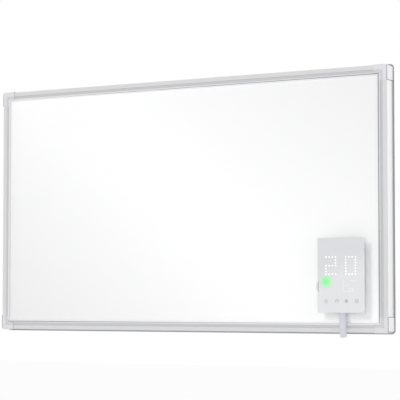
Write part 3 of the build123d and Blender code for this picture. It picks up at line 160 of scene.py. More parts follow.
def paint_over(tree: Tree, under: object, layers: Iterable[Layer]) -> Node:
    """Lay hex colours over a colour, one after another.

    Args:
        tree: The node tree that gets the nodes.
        under: The lowest colour.
        layers: Share and hex code of each layer, the lowest first.

    Returns:
        The node that gives the colour.
    """
    for share, code in layers:
        inputs = {"Factor": share, "A": under, "B": linear(code)}
        under = add_node(tree, "ShaderNodeMix", inputs, data_type="RGBA")
    return under


# ------------------------------------------------------------------------------ finishes


class Grain(Enum):
    """How a surface was made, which is the pattern that the eye finds on it."""

    MOULDED = "fine spark-eroded texture"
    ORANGE_PEEL = "soft waves of a sprayed coat"
    DRAWN = "long die lines of an extrusion"
    SPANGLE = "zinc crystals"
    FIBRE = "pressed or laid fibres"


@dataclass(frozen=True)
class Finish:
    """A real surface finish, made as one procedural material.

    Attributes:
        name: Name of the material.
        colour: Its sRGB hex colour.
        roughness: Its usual roughness.
        grain: The pattern on it.
        grain_mm: Size of one grain.
        depth_mm: Height of the grain.
        metallic: 1 for a bare metal, less under a clear oxide.
        ior: Index of refraction of what isn't a metal.
        tone_drift: Share by which the colour darkens in the grain.
        gloss_drift: How far the roughness wanders either way.
        stretch: Scale of the pattern along X, Y and Z.
        glow: Emission strength of a lit piece.
        bump: Strength of the grain's relief.
        tone_from: Values of the grain between which the colour goes from dark to full.
    """

    name: str
    colour: str
    roughness: float
    grain: Grain = Grain.MOULDED
    grain_mm: float = 0.6
    depth_mm: float = 0.01
    metallic: float = 0.0
    ior: float = 1.5
    tone_drift: float = 0.03
    gloss_drift: float = 0.04
    stretch: tuple[float, float, float] = (1.0, 1.0, 1.0)
    glow: float = 0.0
    bump: float = 0.6
    tone_from: Point = (0.25, 0.75)

    def pattern(self, tree: Tree, place: Node) -> Node:
        """Draw the grain as a value from 0 to 1.

        Args:
            tree: The node tree of the material.
            place: Coordinates of the pattern.

        Returns:
            The node that gives the value.
        """
        inputs = {"Vector": place, "Scale": 1 / (self.grain_mm * MM)}
        if self.grain is Grain.SPANGLE:
            cells = add_node(tree, "ShaderNodeTexVoronoi", {**inputs, "Randomness": 1.0})
            return add_node(tree, "ShaderNodeSeparateColor", {"Color": cells.outputs["Color"]})
        detail = {Grain.ORANGE_PEEL: 1.0, Grain.FIBRE: 6.0}.get(self.grain, 3.0)
        return add_node(tree, "ShaderNodeTexNoise", {**inputs, "Detail": detail, "Roughness": 0.55})

    def layers(self, tree: Tree, place: Socket) -> list[Layer]:
        """Say which colours lie over the grain.

        Args:
            tree: The node tree of the material.
            place: Coordinates on the object.

        Returns:
            Share and hex code of each colour, the lowest first.
        """
        return []

    def base_colour(self, tree: Tree, place: Socket, pattern: Node) -> Node:
        """Colour the surface, a little darker where the grain is low.

        Args:
            tree: The node tree of the material.
            place: Coordinates on the object.
            pattern: The grain, from 0 to 1.

        Returns:
            The node that gives the colour.
        """
        low = tuple(channel * (1 - self.tone_drift) for channel in linear(self.colour)[:3])
        start, end = self.tone_from
        share = add_node(tree, MAP_RANGE, {"Value": pattern, "From Min": start, "From Max": end})
        return paint_over(tree, (*low, 1.0), [(share, self.colour), *self.layers(tree, place)])

    def emission(self, tree: Tree, place: Socket) -> dict[str, object]:
        """Give the shader's emission inputs.

        Args:
            tree: The node tree of the material.
            place: Coordinates on the object.

        Returns:
            Values by input name, or none.
        """
        if not self.glow:
            return {}
        return {"Emission Color": linear(self.colour), "Emission Strength": self.glow}

    def build(self) -> bpy.types.Material:
        """Make the material once.

        Returns:
            The material.
        """
        known = bpy.data.materials.get(self.name)
        if known:
            return known
        material = bpy.data.materials.new(self.name)
        material.use_nodes = True
        tree = material.node_tree
        tree.nodes.clear()
        place = add_node(tree, "ShaderNodeTexCoord").outputs["Object"]
        spread = add_node(tree, "ShaderNodeMapping", {"Vector": place, "Scale": self.stretch})
        pattern = self.pattern(tree, spread)
        gloss = {
            "Value": pattern,
            "To Min": self.roughness - self.gloss_drift,
            "To Max": self.roughness + self.gloss_drift,
        }
        relief = {"Height": pattern, "Strength": self.bump, "Distance": self.depth_mm * MM}
        surface = {
            "Base Color": self.base_colour(tree, place, pattern),
            "Roughness": add_node(tree, MAP_RANGE, gloss),
            "Metallic": self.metallic,
            "IOR": self.ior,
            "Normal": add_node(tree, "ShaderNodeBump", relief),
            **self.emission(tree, place),
        }
        shader = add_node(tree, "ShaderNodeBsdfPrincipled", surface)
        add_node(tree, "ShaderNodeOutputMaterial", {"Surface": shader})
        return material


@dataclass(frozen=True)
class FrameFinish(Finish):
    """Frame finish: painted shade in the channel, painted highlight on the bead, dark lines at
    joins.

    Attributes:
        channel: Colour in the channel, darker as painted shade.
        bead: Colour of the bead beside the sheet, lighter as a painted highlight.
        joint_and_shade: Colour of the thin dark lines at joins and edges, and of the painted shade
            line along the lip.
        edges_mm: Where the land and the channel end, from the frame's outer face.
        blur_mm: How far one band fades into the next, either way.
        joint_mm: Width of the line where the rails meet the corner pieces.
        faint: How strongly a line shows on the front, where light gets into it.
        mitred: Whether the channel has a mitre line.
        side: Colour of the outer faces, painted light where it is paler than the front.
        side_mm: How far from the outer face that colour reaches.
        edge_mm: Middle and half width of the line along a corner piece's outer edge, from the
            frame's outer face inwards, or none.
        edge_strength: How strongly that line shows.
        lip_mm: Middle and half width of the shade line along the long sides, where the bead drops
            to the gasket, from the frame's outer face inwards, or none.
        lip_shade: How strongly it shows at its faint end, which is the top's left and the
            bottom's right, and at its other end.
    """

    channel: str = "#d1d1d3"
    bead: str = "#fafafa"
    joint_and_shade: str = "#8f8f94"
    edges_mm: Point = (8.6, 14.6)
    blur_mm: float = 0.2
    joint_mm: float = 1.2
    faint: float = 0.35
    mitred: bool = False
    side: str = "#e2e2e3"
    side_mm: float = 0.3
    edge_mm: Point | None = None
    edge_strength: float = 0.6
    lip_mm: Point | None = None
    lip_shade: Point = (0.1, 0.9)

    def base_colour(self, tree: Tree, place: Socket, pattern: Node) -> Node:
        """Paint the bands and the lines, and tone all of them by the grain.

        Args:
            tree: The node tree of the material.
            place: Coordinates on the object.
            pattern: The grain, from 0 to 1.

        Returns:
            The node that gives the colour.
        """
        painted = paint_over(tree, linear(self.colour), self.layers(tree, place))
        shade = add_node(tree, MAP_RANGE, {"Value": pattern, "To Min": 1 - self.tone_drift})
        return add_node(tree, VECTOR_MATH, {0: painted, "Scale": shade}, operation="SCALE")

    def layers(self, tree: Tree, place: Socket) -> list[Layer]:
        """Colour the bands by their distance from the outer face, with painted shade and highlight,
        then the lines.

        Args:
            tree: The node tree of the material.
            place: Coordinates on the object.

        Returns:
            Share and hex code of each colour, the lowest first.
        """
        folded = add_node(tree, VECTOR_MATH, {0: place}, operation="ABSOLUTE")
        out = add_node(tree, SPLIT, {"Vector": folded}).outputs
        from_end, from_side = (
            add_node(tree, MATH, {0: half, 1: out[axis]}, operation="SUBTRACT")
            for half, axis in zip(OUTSIDE, "XZ")
        )
        distance = add_node(tree, MATH, {0: from_end, 1: from_side}, operation="MINIMUM")
        bands = []
        for edge in self.edges_mm:
            start, end = (edge - self.blur_mm) * MM, (edge + self.blur_mm) * MM
            step = {"Value": distance, "From Min": start, "From Max": end}
            bands.append(add_node(tree, MAP_RANGE, step))
        on_side = add_node(tree, MATH, {0: distance, 1: self.side_mm * MM}, operation="LESS_THAN")
        half = self.joint_mm / 2 * MM
        seams = [on_line(tree, out[axis], joint, half) for axis, joint in zip("XZ", RAIL_ENDS)]
        lines = [(seams[0], on_side), (seams[1], on_side), (seams[0], self.faint)]
        if self.mitred:
            lines.append((self.mitre(tree, from_end, from_side, distance), self.faint))
        if self.edge_mm:
            edge, half = (value * MM for value in self.edge_mm)
            lines.append((on_line(tree, from_end, edge, half), self.edge_strength))
        if self.lip_mm:
            lines.append(self.lip_line(tree, place, from_end, from_side))
        line = strongest(tree, lines)
        # Channel and bead carry painted shade and a painted highlight, a paler side painted light,
        # the lip line painted shade.
        return [*zip(bands, (self.channel, self.bead)), (on_side, self.side), (line, self.joint_and_shade)]

    def mitre(self, tree: Tree, from_end: Node, from_side: Node, distance: Node) -> Node:
        """Draw the mitre line, from the land inwards.

        Args:
            tree: The node tree of the material.
            from_end: Distance from the frame's left or right face.
            from_side: Distance from its top or bottom face.
            distance: The smaller of the two.

        Returns:
            The node that gives the line's mask.
        """
        skew = add_node(tree, MATH, {0: from_end, 1: from_side}, operation="SUBTRACT")
        line = on_line(tree, skew, 0.0, self.joint_mm / 2 * MM)
        land = self.edges_mm[0] * MM
        inside = add_node(tree, MATH, {0: distance, 1: land}, operation="GREATER_THAN")
        return add_node(tree, MATH, {0: line, 1: inside}, operation="MULTIPLY")

    def lip_line(
        self, tree: Tree, place: Socket, from_end: Node, from_side: Node
    ) -> tuple[Node, Node]:
        """Draw the shade line along the lip of the top and the bottom.

        Args:
            tree: The node tree of the material.
            place: Coordinates on the object.
            from_end: Distance from the frame's left or right face.
            from_side: Distance from its top or bottom face.

        Returns:
            The nodes that give the line's mask and its strength.
        """
        lip, half = (value * MM for value in self.lip_mm)
        on_lip = on_line(tree, from_side, lip, half)
        between = add_node(tree, MATH, {0: from_end, 1: lip}, operation="GREATER_THAN")
        split = add_node(tree, SPLIT, {"Vector": place}).outputs
        side = add_node(tree, MATH, {0: split["Z"]}, operation="SIGN")
        weak, strong = self.lip_shade
        fade = {
            "Value": add_node(tree, MATH, {0: split["X"], 1: side}, operation="MULTIPLY"),
            "From Min": -OUTSIDE[0],
            "From Max": OUTSIDE[0],
            "To Min": weak,
            "To Max": strong,
        }
        mask = add_node(tree, MATH, {0: on_lip, 1: between}, operation="MULTIPLY")
        return mask, add_node(tree, MAP_RANGE, fade)


@dataclass(frozen=True)
class FaceFinish(Finish):
    """Milky front plate of the control unit, with painted light: paler lower right, green round the
    light.

    Attributes:
        pale: Colour toward the lower right, painted light.
        pale_way: Direction in which the plate grows paler.
        pale_from_mm: Where that begins and is full, along that direction from the plate's middle.
        light: Colour of the light at its middle.
        core_mm: Radius of the evenly lit middle.
        reach_mm: Radius at which the light ends.
        shift_mm: How far the light spreads to the right of its guide and up from it.
    """

    pale: str = "#dedfe1"
    pale_way: tuple[float, float, float] = (0.373, 0.0, -0.928)
    pale_from_mm: Point = (-31.7, 8.3)
    light: str = "#86f496"
    core_mm: float = 2.5
    reach_mm: float = 16.0
    shift_mm: Point = (0.8, -1.0)

    def nearness(self, tree: Tree, place: Socket) -> Node:
        """Draw a mask that is 1 in the light's core and falls smoothly to 0 at its reach.

        Args:
            tree: The node tree of the material.
            place: Coordinates on the object.

        Returns:
            The node that gives the mask.
        """
        guide = middle("status_light_guide")
        right, up = (shift * MM for shift in self.shift_mm)
        heart = (guide.x + right, 0.0, guide.z + up)
        flat = add_node(tree, VECTOR_MATH, {0: place, 1: (1.0, 0.0, 1.0)}, operation="MULTIPLY")
        fade = {
            "Value": add_node(tree, VECTOR_MATH, {0: flat, 1: heart}, operation="DISTANCE"),
            "From Min": self.core_mm * MM,
            "From Max": self.reach_mm * MM,
            "To Min": 1.0,
            "To Max": 0.0,
        }
        return add_node(tree, MAP_RANGE, fade, interpolation_type="SMOOTHSTEP")

    def layers(self, tree: Tree, place: Socket) -> list[Layer]:
        """Paint light on the plate: paler at its lower right, and green round the status light.

        Args:
            tree: The node tree of the material.
            place: Coordinates on the object.

        Returns:
            Share and hex code of each colour, the lowest first.
        """
        # Painted light: paler toward the lower right, and green round the status light.
        centred = add_node(
            tree, VECTOR_MATH, {0: place, 1: middle("unit_face")}, operation="SUBTRACT"
        )
        slope = add_node(tree, VECTOR_MATH, {0: centred, 1: self.pale_way}, operation="DOT_PRODUCT")
        start, end = (edge * MM for edge in self.pale_from_mm)
        inputs = {"Value": slope, "From Min": start, "From Max": end}
        spread = add_node(tree, MAP_RANGE, inputs, interpolation_type="SMOOTHSTEP")
        return [(spread, self.pale), (self.nearness(tree, place), self.light)]

    def emission(self, tree: Tree, place: Socket) -> dict[str, object]:
        """Let the plate shine where the light spreads in it.

        Args:
            tree: The node tree of the material.
            place: Coordinates on the object.

        Returns:
            Values by input name.
        """
        glow = paint_over(tree, linear("#000000"), [(self.nearness(tree, place), self.light)])
        return {"Emission Color": glow, "Emission Strength": self.glow}


@dataclass(frozen=True)
class SheetFinish(Finish):
    """Front sheet's coat: a painted slanting band of light and a painted shade line at its right.

    Attributes:
        dim: Colour far from the painted band of light.
        across_band: Direction square to the band, which runs down to the right.
        band: Distances from its middle where the coat begins to dim and is dimmest, in metres.
        shade_line: Colour of the painted shade line.
        shade_line_from_mm: Where it begins, from the right rail's lip inwards.
        shade_line_mm: Its width.
    """

    dim: str = "#ebebec"
    across_band: tuple[float, float, float] = (0.634, 0.0, 0.773)
    band: Point = (0.07, 0.43)
    shade_line: str = "#8e8e92"
    shade_line_from_mm: float = 1.9
    shade_line_mm: float = 2.1

    def layers(self, tree: Tree, place: Socket) -> list[Layer]:
        """Dim the coat away from the painted band of light, and draw the painted shade line.

        Args:
            tree: The node tree of the material.
            place: Coordinates on the object.

        Returns:
            Share and hex code of each colour, the lowest first.
        """
        # Painted light: the coat is palest along the band.
        across = add_node(
            tree, VECTOR_MATH, {0: place, 1: self.across_band}, operation="DOT_PRODUCT"
        )
        away = add_node(tree, MATH, {0: across}, operation="ABSOLUTE")
        start, end = self.band
        dimmed = add_node(tree, MAP_RANGE, {"Value": away, "From Min": start, "From Max": end})
        # Painted shade line on the sheet beside the right rail's lip.
        along_x = add_node(tree, SPLIT, {"Vector": place}).outputs["X"]
        half = self.shade_line_mm / 2 * MM
        on_shade_line = on_line(tree, along_x, INSIDE[0] - self.shade_line_from_mm * MM - half, half)
        return [(dimmed, self.dim), (on_shade_line, self.shade_line)]


@dataclass(frozen=True)
class LipFinish(Finish):
    """Rubber lip beside the sheet, with painted shade on the right and painted light along the long
    sides.

    Attributes:
        shaded: Colour of the strip on the right, painted shade.
        pale: Colour of the strips at the top and the bottom, a painted reflection of the sheet.
        strip_mm: Width of the strips, from the rails' lips inwards.
    """

    shaded: str = "#a6a6a9"
    pale: str = "#f0f0f2"
    strip_mm: float = 2.3

    def layers(self, tree: Tree, place: Socket) -> list[Layer]:
        """Paint light on the long strips, then paint shade on the one on the right.

        Args:
            tree: The node tree of the material.
            place: Coordinates on the object.

        Returns:
            Share and hex code of each colour, the lowest first.
        """
        # Painted light on the long strips, painted shade on the right one.
        split = add_node(tree, SPLIT, {"Vector": place}).outputs
        height = add_node(tree, MATH, {0: split["Z"]}, operation="ABSOLUTE")
        right_from, long_from = (lip - self.strip_mm * MM for lip in INSIDE)
        strips = ((height, long_from, self.pale), (split["X"], right_from, self.shaded))
        return [
            (add_node(tree, MATH, {0: value, 1: start}, operation="GREATER_THAN"), tint)
            for value, start, tint in strips
        ]


@dataclass(frozen=True)
class TrayFinish(Finish):
    """Zinc sheet whose rim beside the rails is darkened with painted shade, seen from the room.

    Attributes:
        rim: Colour of the rim's painted shade.
        rim_from_mm: Where the rim begins, from the rails' outer faces outwards.
        skin_mm: How deep the back goes, which stays bright.
    """

    rim: str = "#b2b3b5"
    rim_from_mm: float = 0.1
    skin_mm: float = 0.2

    def layers(self, tree: Tree, place: Socket) -> list[Layer]:
        """Paint shade on the rim, but not on the back.

        Args:
            tree: The node tree of the material.
            place: Coordinates on the object.

        Returns:
            Share and hex code of each colour, the lowest first.
        """
        # Painted shade on the rim beside the rails.
        split = add_node(tree, SPLIT, {"Vector": place}).outputs
        skin = TRAY_BACK - self.skin_mm * MM
        in_front = add_node(tree, MATH, {0: split["Y"], 1: skin}, operation="LESS_THAN")
        beyond = []
        for axis, face in zip("XZ", OUTSIDE):
            out = add_node(tree, MATH, {0: split[axis]}, operation="ABSOLUTE")
            start = face + self.rim_from_mm * MM
            past = add_node(tree, MATH, {0: out, 1: start}, operation="GREATER_THAN")
            beyond.append((past, in_front))
        return [(strongest(tree, beyond), self.rim)]


# Anodised aluminium, extruded and etched: a soft satin sheen with faint lines along each rail.
ANODISED = {
    "colour": "#e2e2e3",
    "roughness": 0.5,
    "grain": Grain.DRAWN,
    "grain_mm": 0.5,
    "depth_mm": 0.004,
    "metallic": 0.6,
    "gloss_drift": 0.05,
}
# Middle and half width in mm of the painted shade line along the lip of the top, the bottom and the
# corners.
LIP_LINE_MM = (16.3, 0.75)
# The rails' darker channel is painted shade and their lighter bead a painted highlight.
RAIL_ALONG_X = FrameFinish(
    "anodised_aluminium_along_x",
    stretch=(0.01, 1.0, 1.0),
    bead="#f7f7f8",
    edges_mm=(8.4, 14.0),
    lip_mm=LIP_LINE_MM,
    **ANODISED,
)
RAIL_ALONG_Z = FrameFinish(
    "anodised_aluminium_along_z", stretch=(1.0, 1.0, 0.01), edges_mm=(10.0, 15.8), **ANODISED
)
# Moulded ABS in the frame's silver grey: even and a little glossier than the rails.
# Its darker channel is painted shade, its lighter bead a painted highlight and its paler outer
# faces painted light.
CORNER_ABS = FrameFinish(
    "corner_abs",
    "#dcdcdf",
    0.3,
    grain_mm=0.8,
    depth_mm=0.006,
    channel="#cfcfd3",
    bead="#ebebee",
    edges_mm=(9.2, 15.0),
    mitred=True,
    joint_and_shade="#7c7c81",
    faint=0.15,
    side="#dedee1",
    edge_mm=(0.7, 1.0),
    lip_mm=LIP_LINE_MM,
)
# Steel sheet with a baked powder coat: white, smooth, with a soft orange peel.
# A slanting band of light and a shade line at the right edge are painted on it.
POWDER_COAT = SheetFinish(
    "white_powder_coat",
    "#fafafa",
    0.3,
    Grain.ORANGE_PEEL,
    grain_mm=2.5,
    depth_mm=0.02,
    tone_drift=0.01,
)
# Pale grey EPDM strip: dull, and a little darker than the white sheet.
# Its long strips carry painted light and its right strip painted shade.
GASKET_RUBBER = LipFinish("gasket_epdm", "#e0e0e3", 0.8, grain_mm=0.4, depth_mm=0.02)
# Galvanised steel sheet: grey zinc with crystals about 6 mm wide.
# Its rim beside the rails is darkened with painted shade.
GALVANISED = TrayFinish(
    "galvanised_steel",
    "#c4c6c8",
    0.42,
    Grain.SPANGLE,
    grain_mm=6.0,
    depth_mm=0.01,
    metallic=1.0,
    tone_drift=0.06,
    gloss_drift=0.05,
)
# Bright zinc plate on small pressed parts: cool grey with an even, slightly cloudy shine.
ZINC_PLATE = Finish(
    "zinc_plate", "#b6b8bc", 0.32, grain_mm=1.5, depth_mm=0.01, metallic=1.0, tone_drift=0.08
)
# Spring wire: drawn steel, darker than the zinc.
SPRING_STEEL = Finish(
    "spring_steel", "#8f9194", 0.28, Grain.DRAWN, grain_mm=0.2, depth_mm=0.005, metallic=1.0
)
# Carbon ink printed on film: near black, with short fibres in it.
CARBON_FILM = Finish(
    "carbon_film", "#26272a", 0.5, Grain.FIBRE, grain_mm=3.0, depth_mm=0.03, tone_drift=0.4
)
# Rolled copper strip: warm and bright, with faint lines along it.
COPPER = Finish(
    "rolled_copper",
    "#c77b55",
    0.3,
    Grain.DRAWN,
    grain_mm=0.6,
    depth_mm=0.005,
    metallic=1.0,
    tone_drift=0.1,
    stretch=(0.05, 1.0, 1.0),
)
# Pressed mineral fibre board: cream and rough.
MINERAL_BOARD = Finish(
    "mineral_fibre_board",
    "#d3ccb6",
    0.9,
    Grain.FIBRE,
    grain_mm=4.0,
    depth_mm=0.4,
    tone_drift=0.2,
    stretch=(1.0, 4.0, 1.0),
)
# Glass-filled nylon of boxes and glands: dark grey with a fine spark texture.
NYLON = Finish("glass_filled_nylon", "#3a3b3d", 0.55, grain_mm=0.7, depth_mm=0.03, tone_drift=0.12)
# Phenolic and relay cases inside: plain dark moulding.
DARK_MOULDING = Finish("dark_moulding", "#2b2c2f", 0.45, grain_mm=0.5, depth_mm=0.02)
# White ABS of the unit's shell: satin, with a fine moulded texture.
UNIT_ABS = Finish("unit_satin_abs", "#e6e7ea", 0.42, grain_mm=0.6, depth_mm=0.015)
# Milky polished acrylic of the face plate: clear gloss over a body in which light spreads.
# Its paler lower right and the green round the status light are painted light.
MILKY_PLATE = FaceFinish(
    "milky_face_plate",
    "#d5d6d9",
    0.16,
    grain_mm=1.5,
    depth_mm=0.004,
    tone_drift=0.01,
    gloss_drift=0.02,
    glow=0.05,
)
# Push key: the same ABS, a touch darker all over.
KEY_ABS = Finish("key_abs", "#dfe0e3", 0.34, grain_mm=0.5, depth_mm=0.01, tone_drift=0.05)
# Fibreglass board under green solder mask, over a fine weave.
SOLDER_MASK = Finish(
    "green_solder_mask", "#1d6a3a", 0.3, Grain.FIBRE, grain_mm=1.2, depth_mm=0.02, tone_drift=0.2
)
# Silicone pads: translucent grey, half matt.
SILICONE = Finish("silicone_pad", "#d4d5d6", 0.5, grain_mm=1.0, depth_mm=0.02, ior=1.41)
# Soft PVC of the boot and the lead: smooth, cool light grey.
SOFT_PVC = Finish("soft_pvc", "#d0d1d9", 0.38, grain_mm=1.2, depth_mm=0.015, ior=1.53)
# Silicone jackets of the single cores: brick brown with a soft shine.
CORE_JACKET = Finish("core_jacket", "#8c4a2f", 0.4, grain_mm=0.8, depth_mm=0.01)
# Acrylic light guide, lit from behind: smooth, even green.
LIGHT_GUIDE = Finish("lit_acrylic", "#86f496", 0.3, grain_mm=1.0, depth_mm=0.0, ior=1.49, glow=0.05)
# Lit dots of the display, seen through the milky plate: white, brighter than what is round them.
LIT_DOT = Finish("lit_display_dot", "#ffffff", 0.3, grain_mm=0.5, depth_mm=0.0, glow=0.35)
# Display marks that aren't lit: a shade paler than the plate.
UNLIT_MARK = Finish("unlit_display_mark", "#ebecee", 0.3, grain_mm=0.5, depth_mm=0.0)
# Grey screen ink of the touch signs: flat and matt.
SIGN_INK = Finish("grey_screen_ink", "#999ba1", 0.5, grain_mm=0.3, depth_mm=0.01, tone_drift=0.08)


# ------------------------------------------------------------------------------ mesh helpers


def middle(node: str) -> Vector:
    """Middle of a CAD node's box."""
    low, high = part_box(node)
    return (low + high) / 2


def dress(finish: Finish, nodes: Iterable[str]) -> None:
    """Give CAD nodes a finish.

    Args:
        finish: The finish.
        nodes: Names of the nodes.
    """
    material = finish.build()
    for name in nodes:
        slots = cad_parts[name].data.materials
        slots.clear()
        slots.append(material)


def solids_of(node: str) -> list[Box]:
    """Find the separate solids in a CAD node.

    Args:
        node: Name of the node.

    Returns:
        Lowest and highest corner of each solid, in a fixed order.
    """
    mesh = bmesh.new()
    mesh.from_mesh(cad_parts[node].data)
    bmesh.ops.remove_doubles(mesh, verts=mesh.verts, dist=1e-6)
    waiting = set(mesh.verts)
    boxes = []
    while waiting:
        island, edge = [], [waiting.pop()]
        while edge:
            vertex = edge.pop()
            island.append(vertex.co.copy())
            for link in vertex.link_edges:
                other = link.other_vert(vertex)
                if other in waiting:
                    waiting.remove(other)
                    edge.append(other)
        low, high = (
            Vector(pick(point[axis] for point in island) for axis in range(3))
            for pick in (min, max)
        )
        boxes.append((low, high))
    mesh.free()
    return sorted(boxes, key=lambda box: tuple(round(value, 5) for value in box[0]))


def add_object(name: str, data: bpy.types.ID) -> Piece:
    """Put a mesh, lamp or camera into the scene as an object.

    Args:
        name: Name of the object.
        data: What it shows.

    Returns:
        The linked object.
    """
    made = bpy.data.objects.new(name, data)
    bpy.context.scene.collection.objects.link(made)
    return made


def to_object(mesh: Mesh, name: str, smooth_deg: float | None = 35.0) -> Piece:
    """Finish a bmesh as an object at the origin.

    Args:
        mesh: The geometry, which is freed.
        name: Name of the object and its mesh.
        smooth_deg: Edges sharper than this stay hard. None keeps every face flat.

    Returns:
        The linked object.
    """
    bmesh.ops.recalc_face_normals(mesh, faces=mesh.faces)
    if smooth_deg is not None:
        for face in mesh.faces:
            face.smooth = True
        for edge in mesh.edges:
            edge.smooth = edge.calc_face_angle(math.pi) < math.radians(smooth_deg)
    data = bpy.data.meshes.new(name)
    mesh.to_mesh(data)
    mesh.free()
    return add_object(name, data)


def join_rings(mesh: Mesh, first: Ring, second: Ring) -> None:
    """Close the wall between two rings of vertices.

    Args:
        mesh: The geometry that gets the faces.
        first: One ring, or a single vertex.
        second: The other.
    """
    count = max(len(first), len(second))
    for step in range(count):
        following = (step + 1) % count
        loop = [first[step % len(first)], second[step % len(second)]]
        if len(second) > 1:
            loop.append(second[following])
        if len(first) > 1:
            loop.append(first[following])
        mesh.faces.new(loop)


def turned(name: str, profile: Sequence[Point], segments: int = 24) -> Piece:
    """Turn a profile about the Y axis.

    Args:
        name: Name of the object.
        profile: Radius and height of each point, in metres.
        segments: Sides of the round.

    Returns:
        The turned object.
    """
    mesh = bmesh.new()
    steps = [2 * math.pi * step / segments for step in range(segments)]
    rings = []
    for radius, height in profile:
        angles = steps if radius else [0.0]
        spots = [(radius * math.cos(angle), height, radius * math.sin(angle)) for angle in angles]
        rings.append([mesh.verts.new(spot) for spot in spots])
    for first, second in zip(rings, rings[1:]):
        join_rings(mesh, first, second)
    return to_object(mesh, name)


def settle(made: Piece) -> Piece:
    """Replace an object's mesh by what its modifiers make, and remove them.

    Args:
        made: The object, which is changed.

    Returns:
        The same object.
    """
    graph = bpy.context.evaluated_depsgraph_get()
    plain = bpy.data.meshes.new_from_object(made.evaluated_get(graph), depsgraph=graph)
    made.modifiers.clear()
    old = made.data
    made.data = plain
    plain.name = made.name
    bpy.data.meshes.remove(old)
    return made


def discard(made: Piece) -> None:
    """Remove a helper object and its mesh.

    Args:
        made: The object.
    """
    data = made.data
    bpy.data.objects.remove(made)
    bpy.data.meshes.remove(data)


def carve_cross(blank: Piece, reach: float, width: float, top: float, depth: float) -> None:
    """Cut a tapered cross recess into a screw head that faces +Y.

    Args:
        blank: The head, which is changed.
        reach: Half the length of the cutter's arms, as far above the top as the recess is deep.
        width: Width of the arms there.
        top: Height of the head's top.
        depth: Depth of the recess.
    """
    mesh = bmesh.new()
    quarters = ((1, 1), (-1, 1), (-1, -1), (1, -1))
    ground_long, ground_wide = 0.45 * reach, 0.35 * width
    levels = ((top - depth, ground_long, ground_wide), (top + depth, reach, width / 2))
    for turn in (False, True):
        rims = []
        for height, long, wide in levels:
            spots = [(side * long, rise * wide) for side, rise in quarters]
            places = [(z, height, x) if turn else (x, height, z) for x, z in spots]
            rims.append([mesh.verts.new(place) for place in places])
            mesh.faces.new(rims[-1])
        join_rings(mesh, *rims)
    cutter = to_object(mesh, "cross_cutter", None)
    cut = blank.modifiers.new("cross", "BOOLEAN")
    cut.operation = "DIFFERENCE"
    cut.solver = "EXACT"
    cut.use_self = True
    cut.object = cutter
    settle(blank)
    discard(cutter)


# ------------------------------------------------------------------------------ geometry nodes


def new_tree(name: str, sizes: Mapping[str, str]) -> tuple[Tree, Node]:
    """Start a geometry tree with named inputs.

    Args:
        name: Name of the tree.
        sizes: Socket type by input name.

    Returns:
        The tree and its input node.
    """
    tree = bpy.data.node_groups.new(name, "GeometryNodeTree")
    tree.interface.new_socket("Geometry", in_out="INPUT", socket_type="NodeSocketGeometry")
    for label, kind in {**sizes, "Material": "NodeSocketMaterial"}.items():
        tree.interface.new_socket(label, in_out="INPUT", socket_type=kind)
    tree.interface.new_socket("Geometry", in_out="OUTPUT", socket_type="NodeSocketGeometry")
    return tree, add_node(tree, "NodeGroupInput")


def end_tree(tree: Tree, geometry: Node, inlet: Node) -> None:
    """End a geometry tree in real geometry with its material.

    Args:
        tree: The tree.
        geometry: The node that gives its geometry.
        inlet: The tree's input node.
    """
    real = add_node(tree, "GeometryNodeRealizeInstances", {"Geometry": geometry})
    inputs = {"Geometry": real, "Material": inlet.outputs["Material"]}
    painted = add_node(tree, "GeometryNodeSetMaterial", inputs)
    add_node(tree, "NodeGroupOutput", {"Geometry": painted})


def grow(made: Piece, tree: Tree, values: Mapping[str, object]) -> Piece:
    """Run a geometry tree on an object and keep the result as a plain mesh.

    Args:
        made: The object, which is changed.
        tree: The geometry tree.
        values: Values by input name.

    Returns:
        The same object.
    """
    modifier = made.modifiers.new(tree.name, "NODES")
    modifier.node_group = tree
    for item in tree.interface.items_tree:
        if item.in_out == "INPUT" and item.name in values:
            modifier[item.identifier] = values[item.name]
    return settle(made)


def repeat_tree() -> Tree:
    """Build the tree that sets one piece on every point, turned as the point says.

    Returns:
        The tree, made once.
    """
    known = bpy.data.node_groups.get("repeat_on_points")
    if known:
        return known
    sizes = {"Piece": "NodeSocketObject", "Size": "NodeSocketFloat"}
    tree, inlet = new_tree("repeat_on_points", sizes)
    piece = add_node(tree, "GeometryNodeObjectInfo", {"Object": inlet.outputs["Piece"]})
    turn = add_node(
        tree, "GeometryNodeInputNamedAttribute", {"Name": "turn"}, data_type="FLOAT_VECTOR"
    )
    inputs = {
        "Points": inlet,
        "Instance": piece.outputs["Geometry"],
        "Rotation": turn,
        "Scale": inlet.outputs["Size"],
    }
    end_tree(tree, add_node(tree, "GeometryNodeInstanceOnPoints", inputs), inlet)
    return tree


def coil_tree() -> Tree:
    """Build the tree that winds a wire into an open coil, standing on its first end.

    Returns:
        The tree.
    """
    labels = ("Turns", "Radius", "Height", "Wire Radius")
    tree, inlet = new_tree("wound_coil", {label: "NodeSocketFloat" for label in labels})
    turns, radius, height, wire_radius = (inlet.outputs[label] for label in labels)
    spiral = {
        "Resolution": 32,
        "Rotations": turns,
        "Start Radius": radius,
        "End Radius": radius,
        "Height": height,
    }
    section = {"Resolution": 12, "Radius": wire_radius}
    wire = {
        "Curve": add_node(tree, "GeometryNodeCurveSpiral", spiral),
        "Profile Curve": add_node(tree, "GeometryNodeCurvePrimitiveCircle", section),
        "Fill Caps": True,
    }
    end_tree(tree, add_node(tree, "GeometryNodeCurveToMesh", wire), inlet)
    return tree


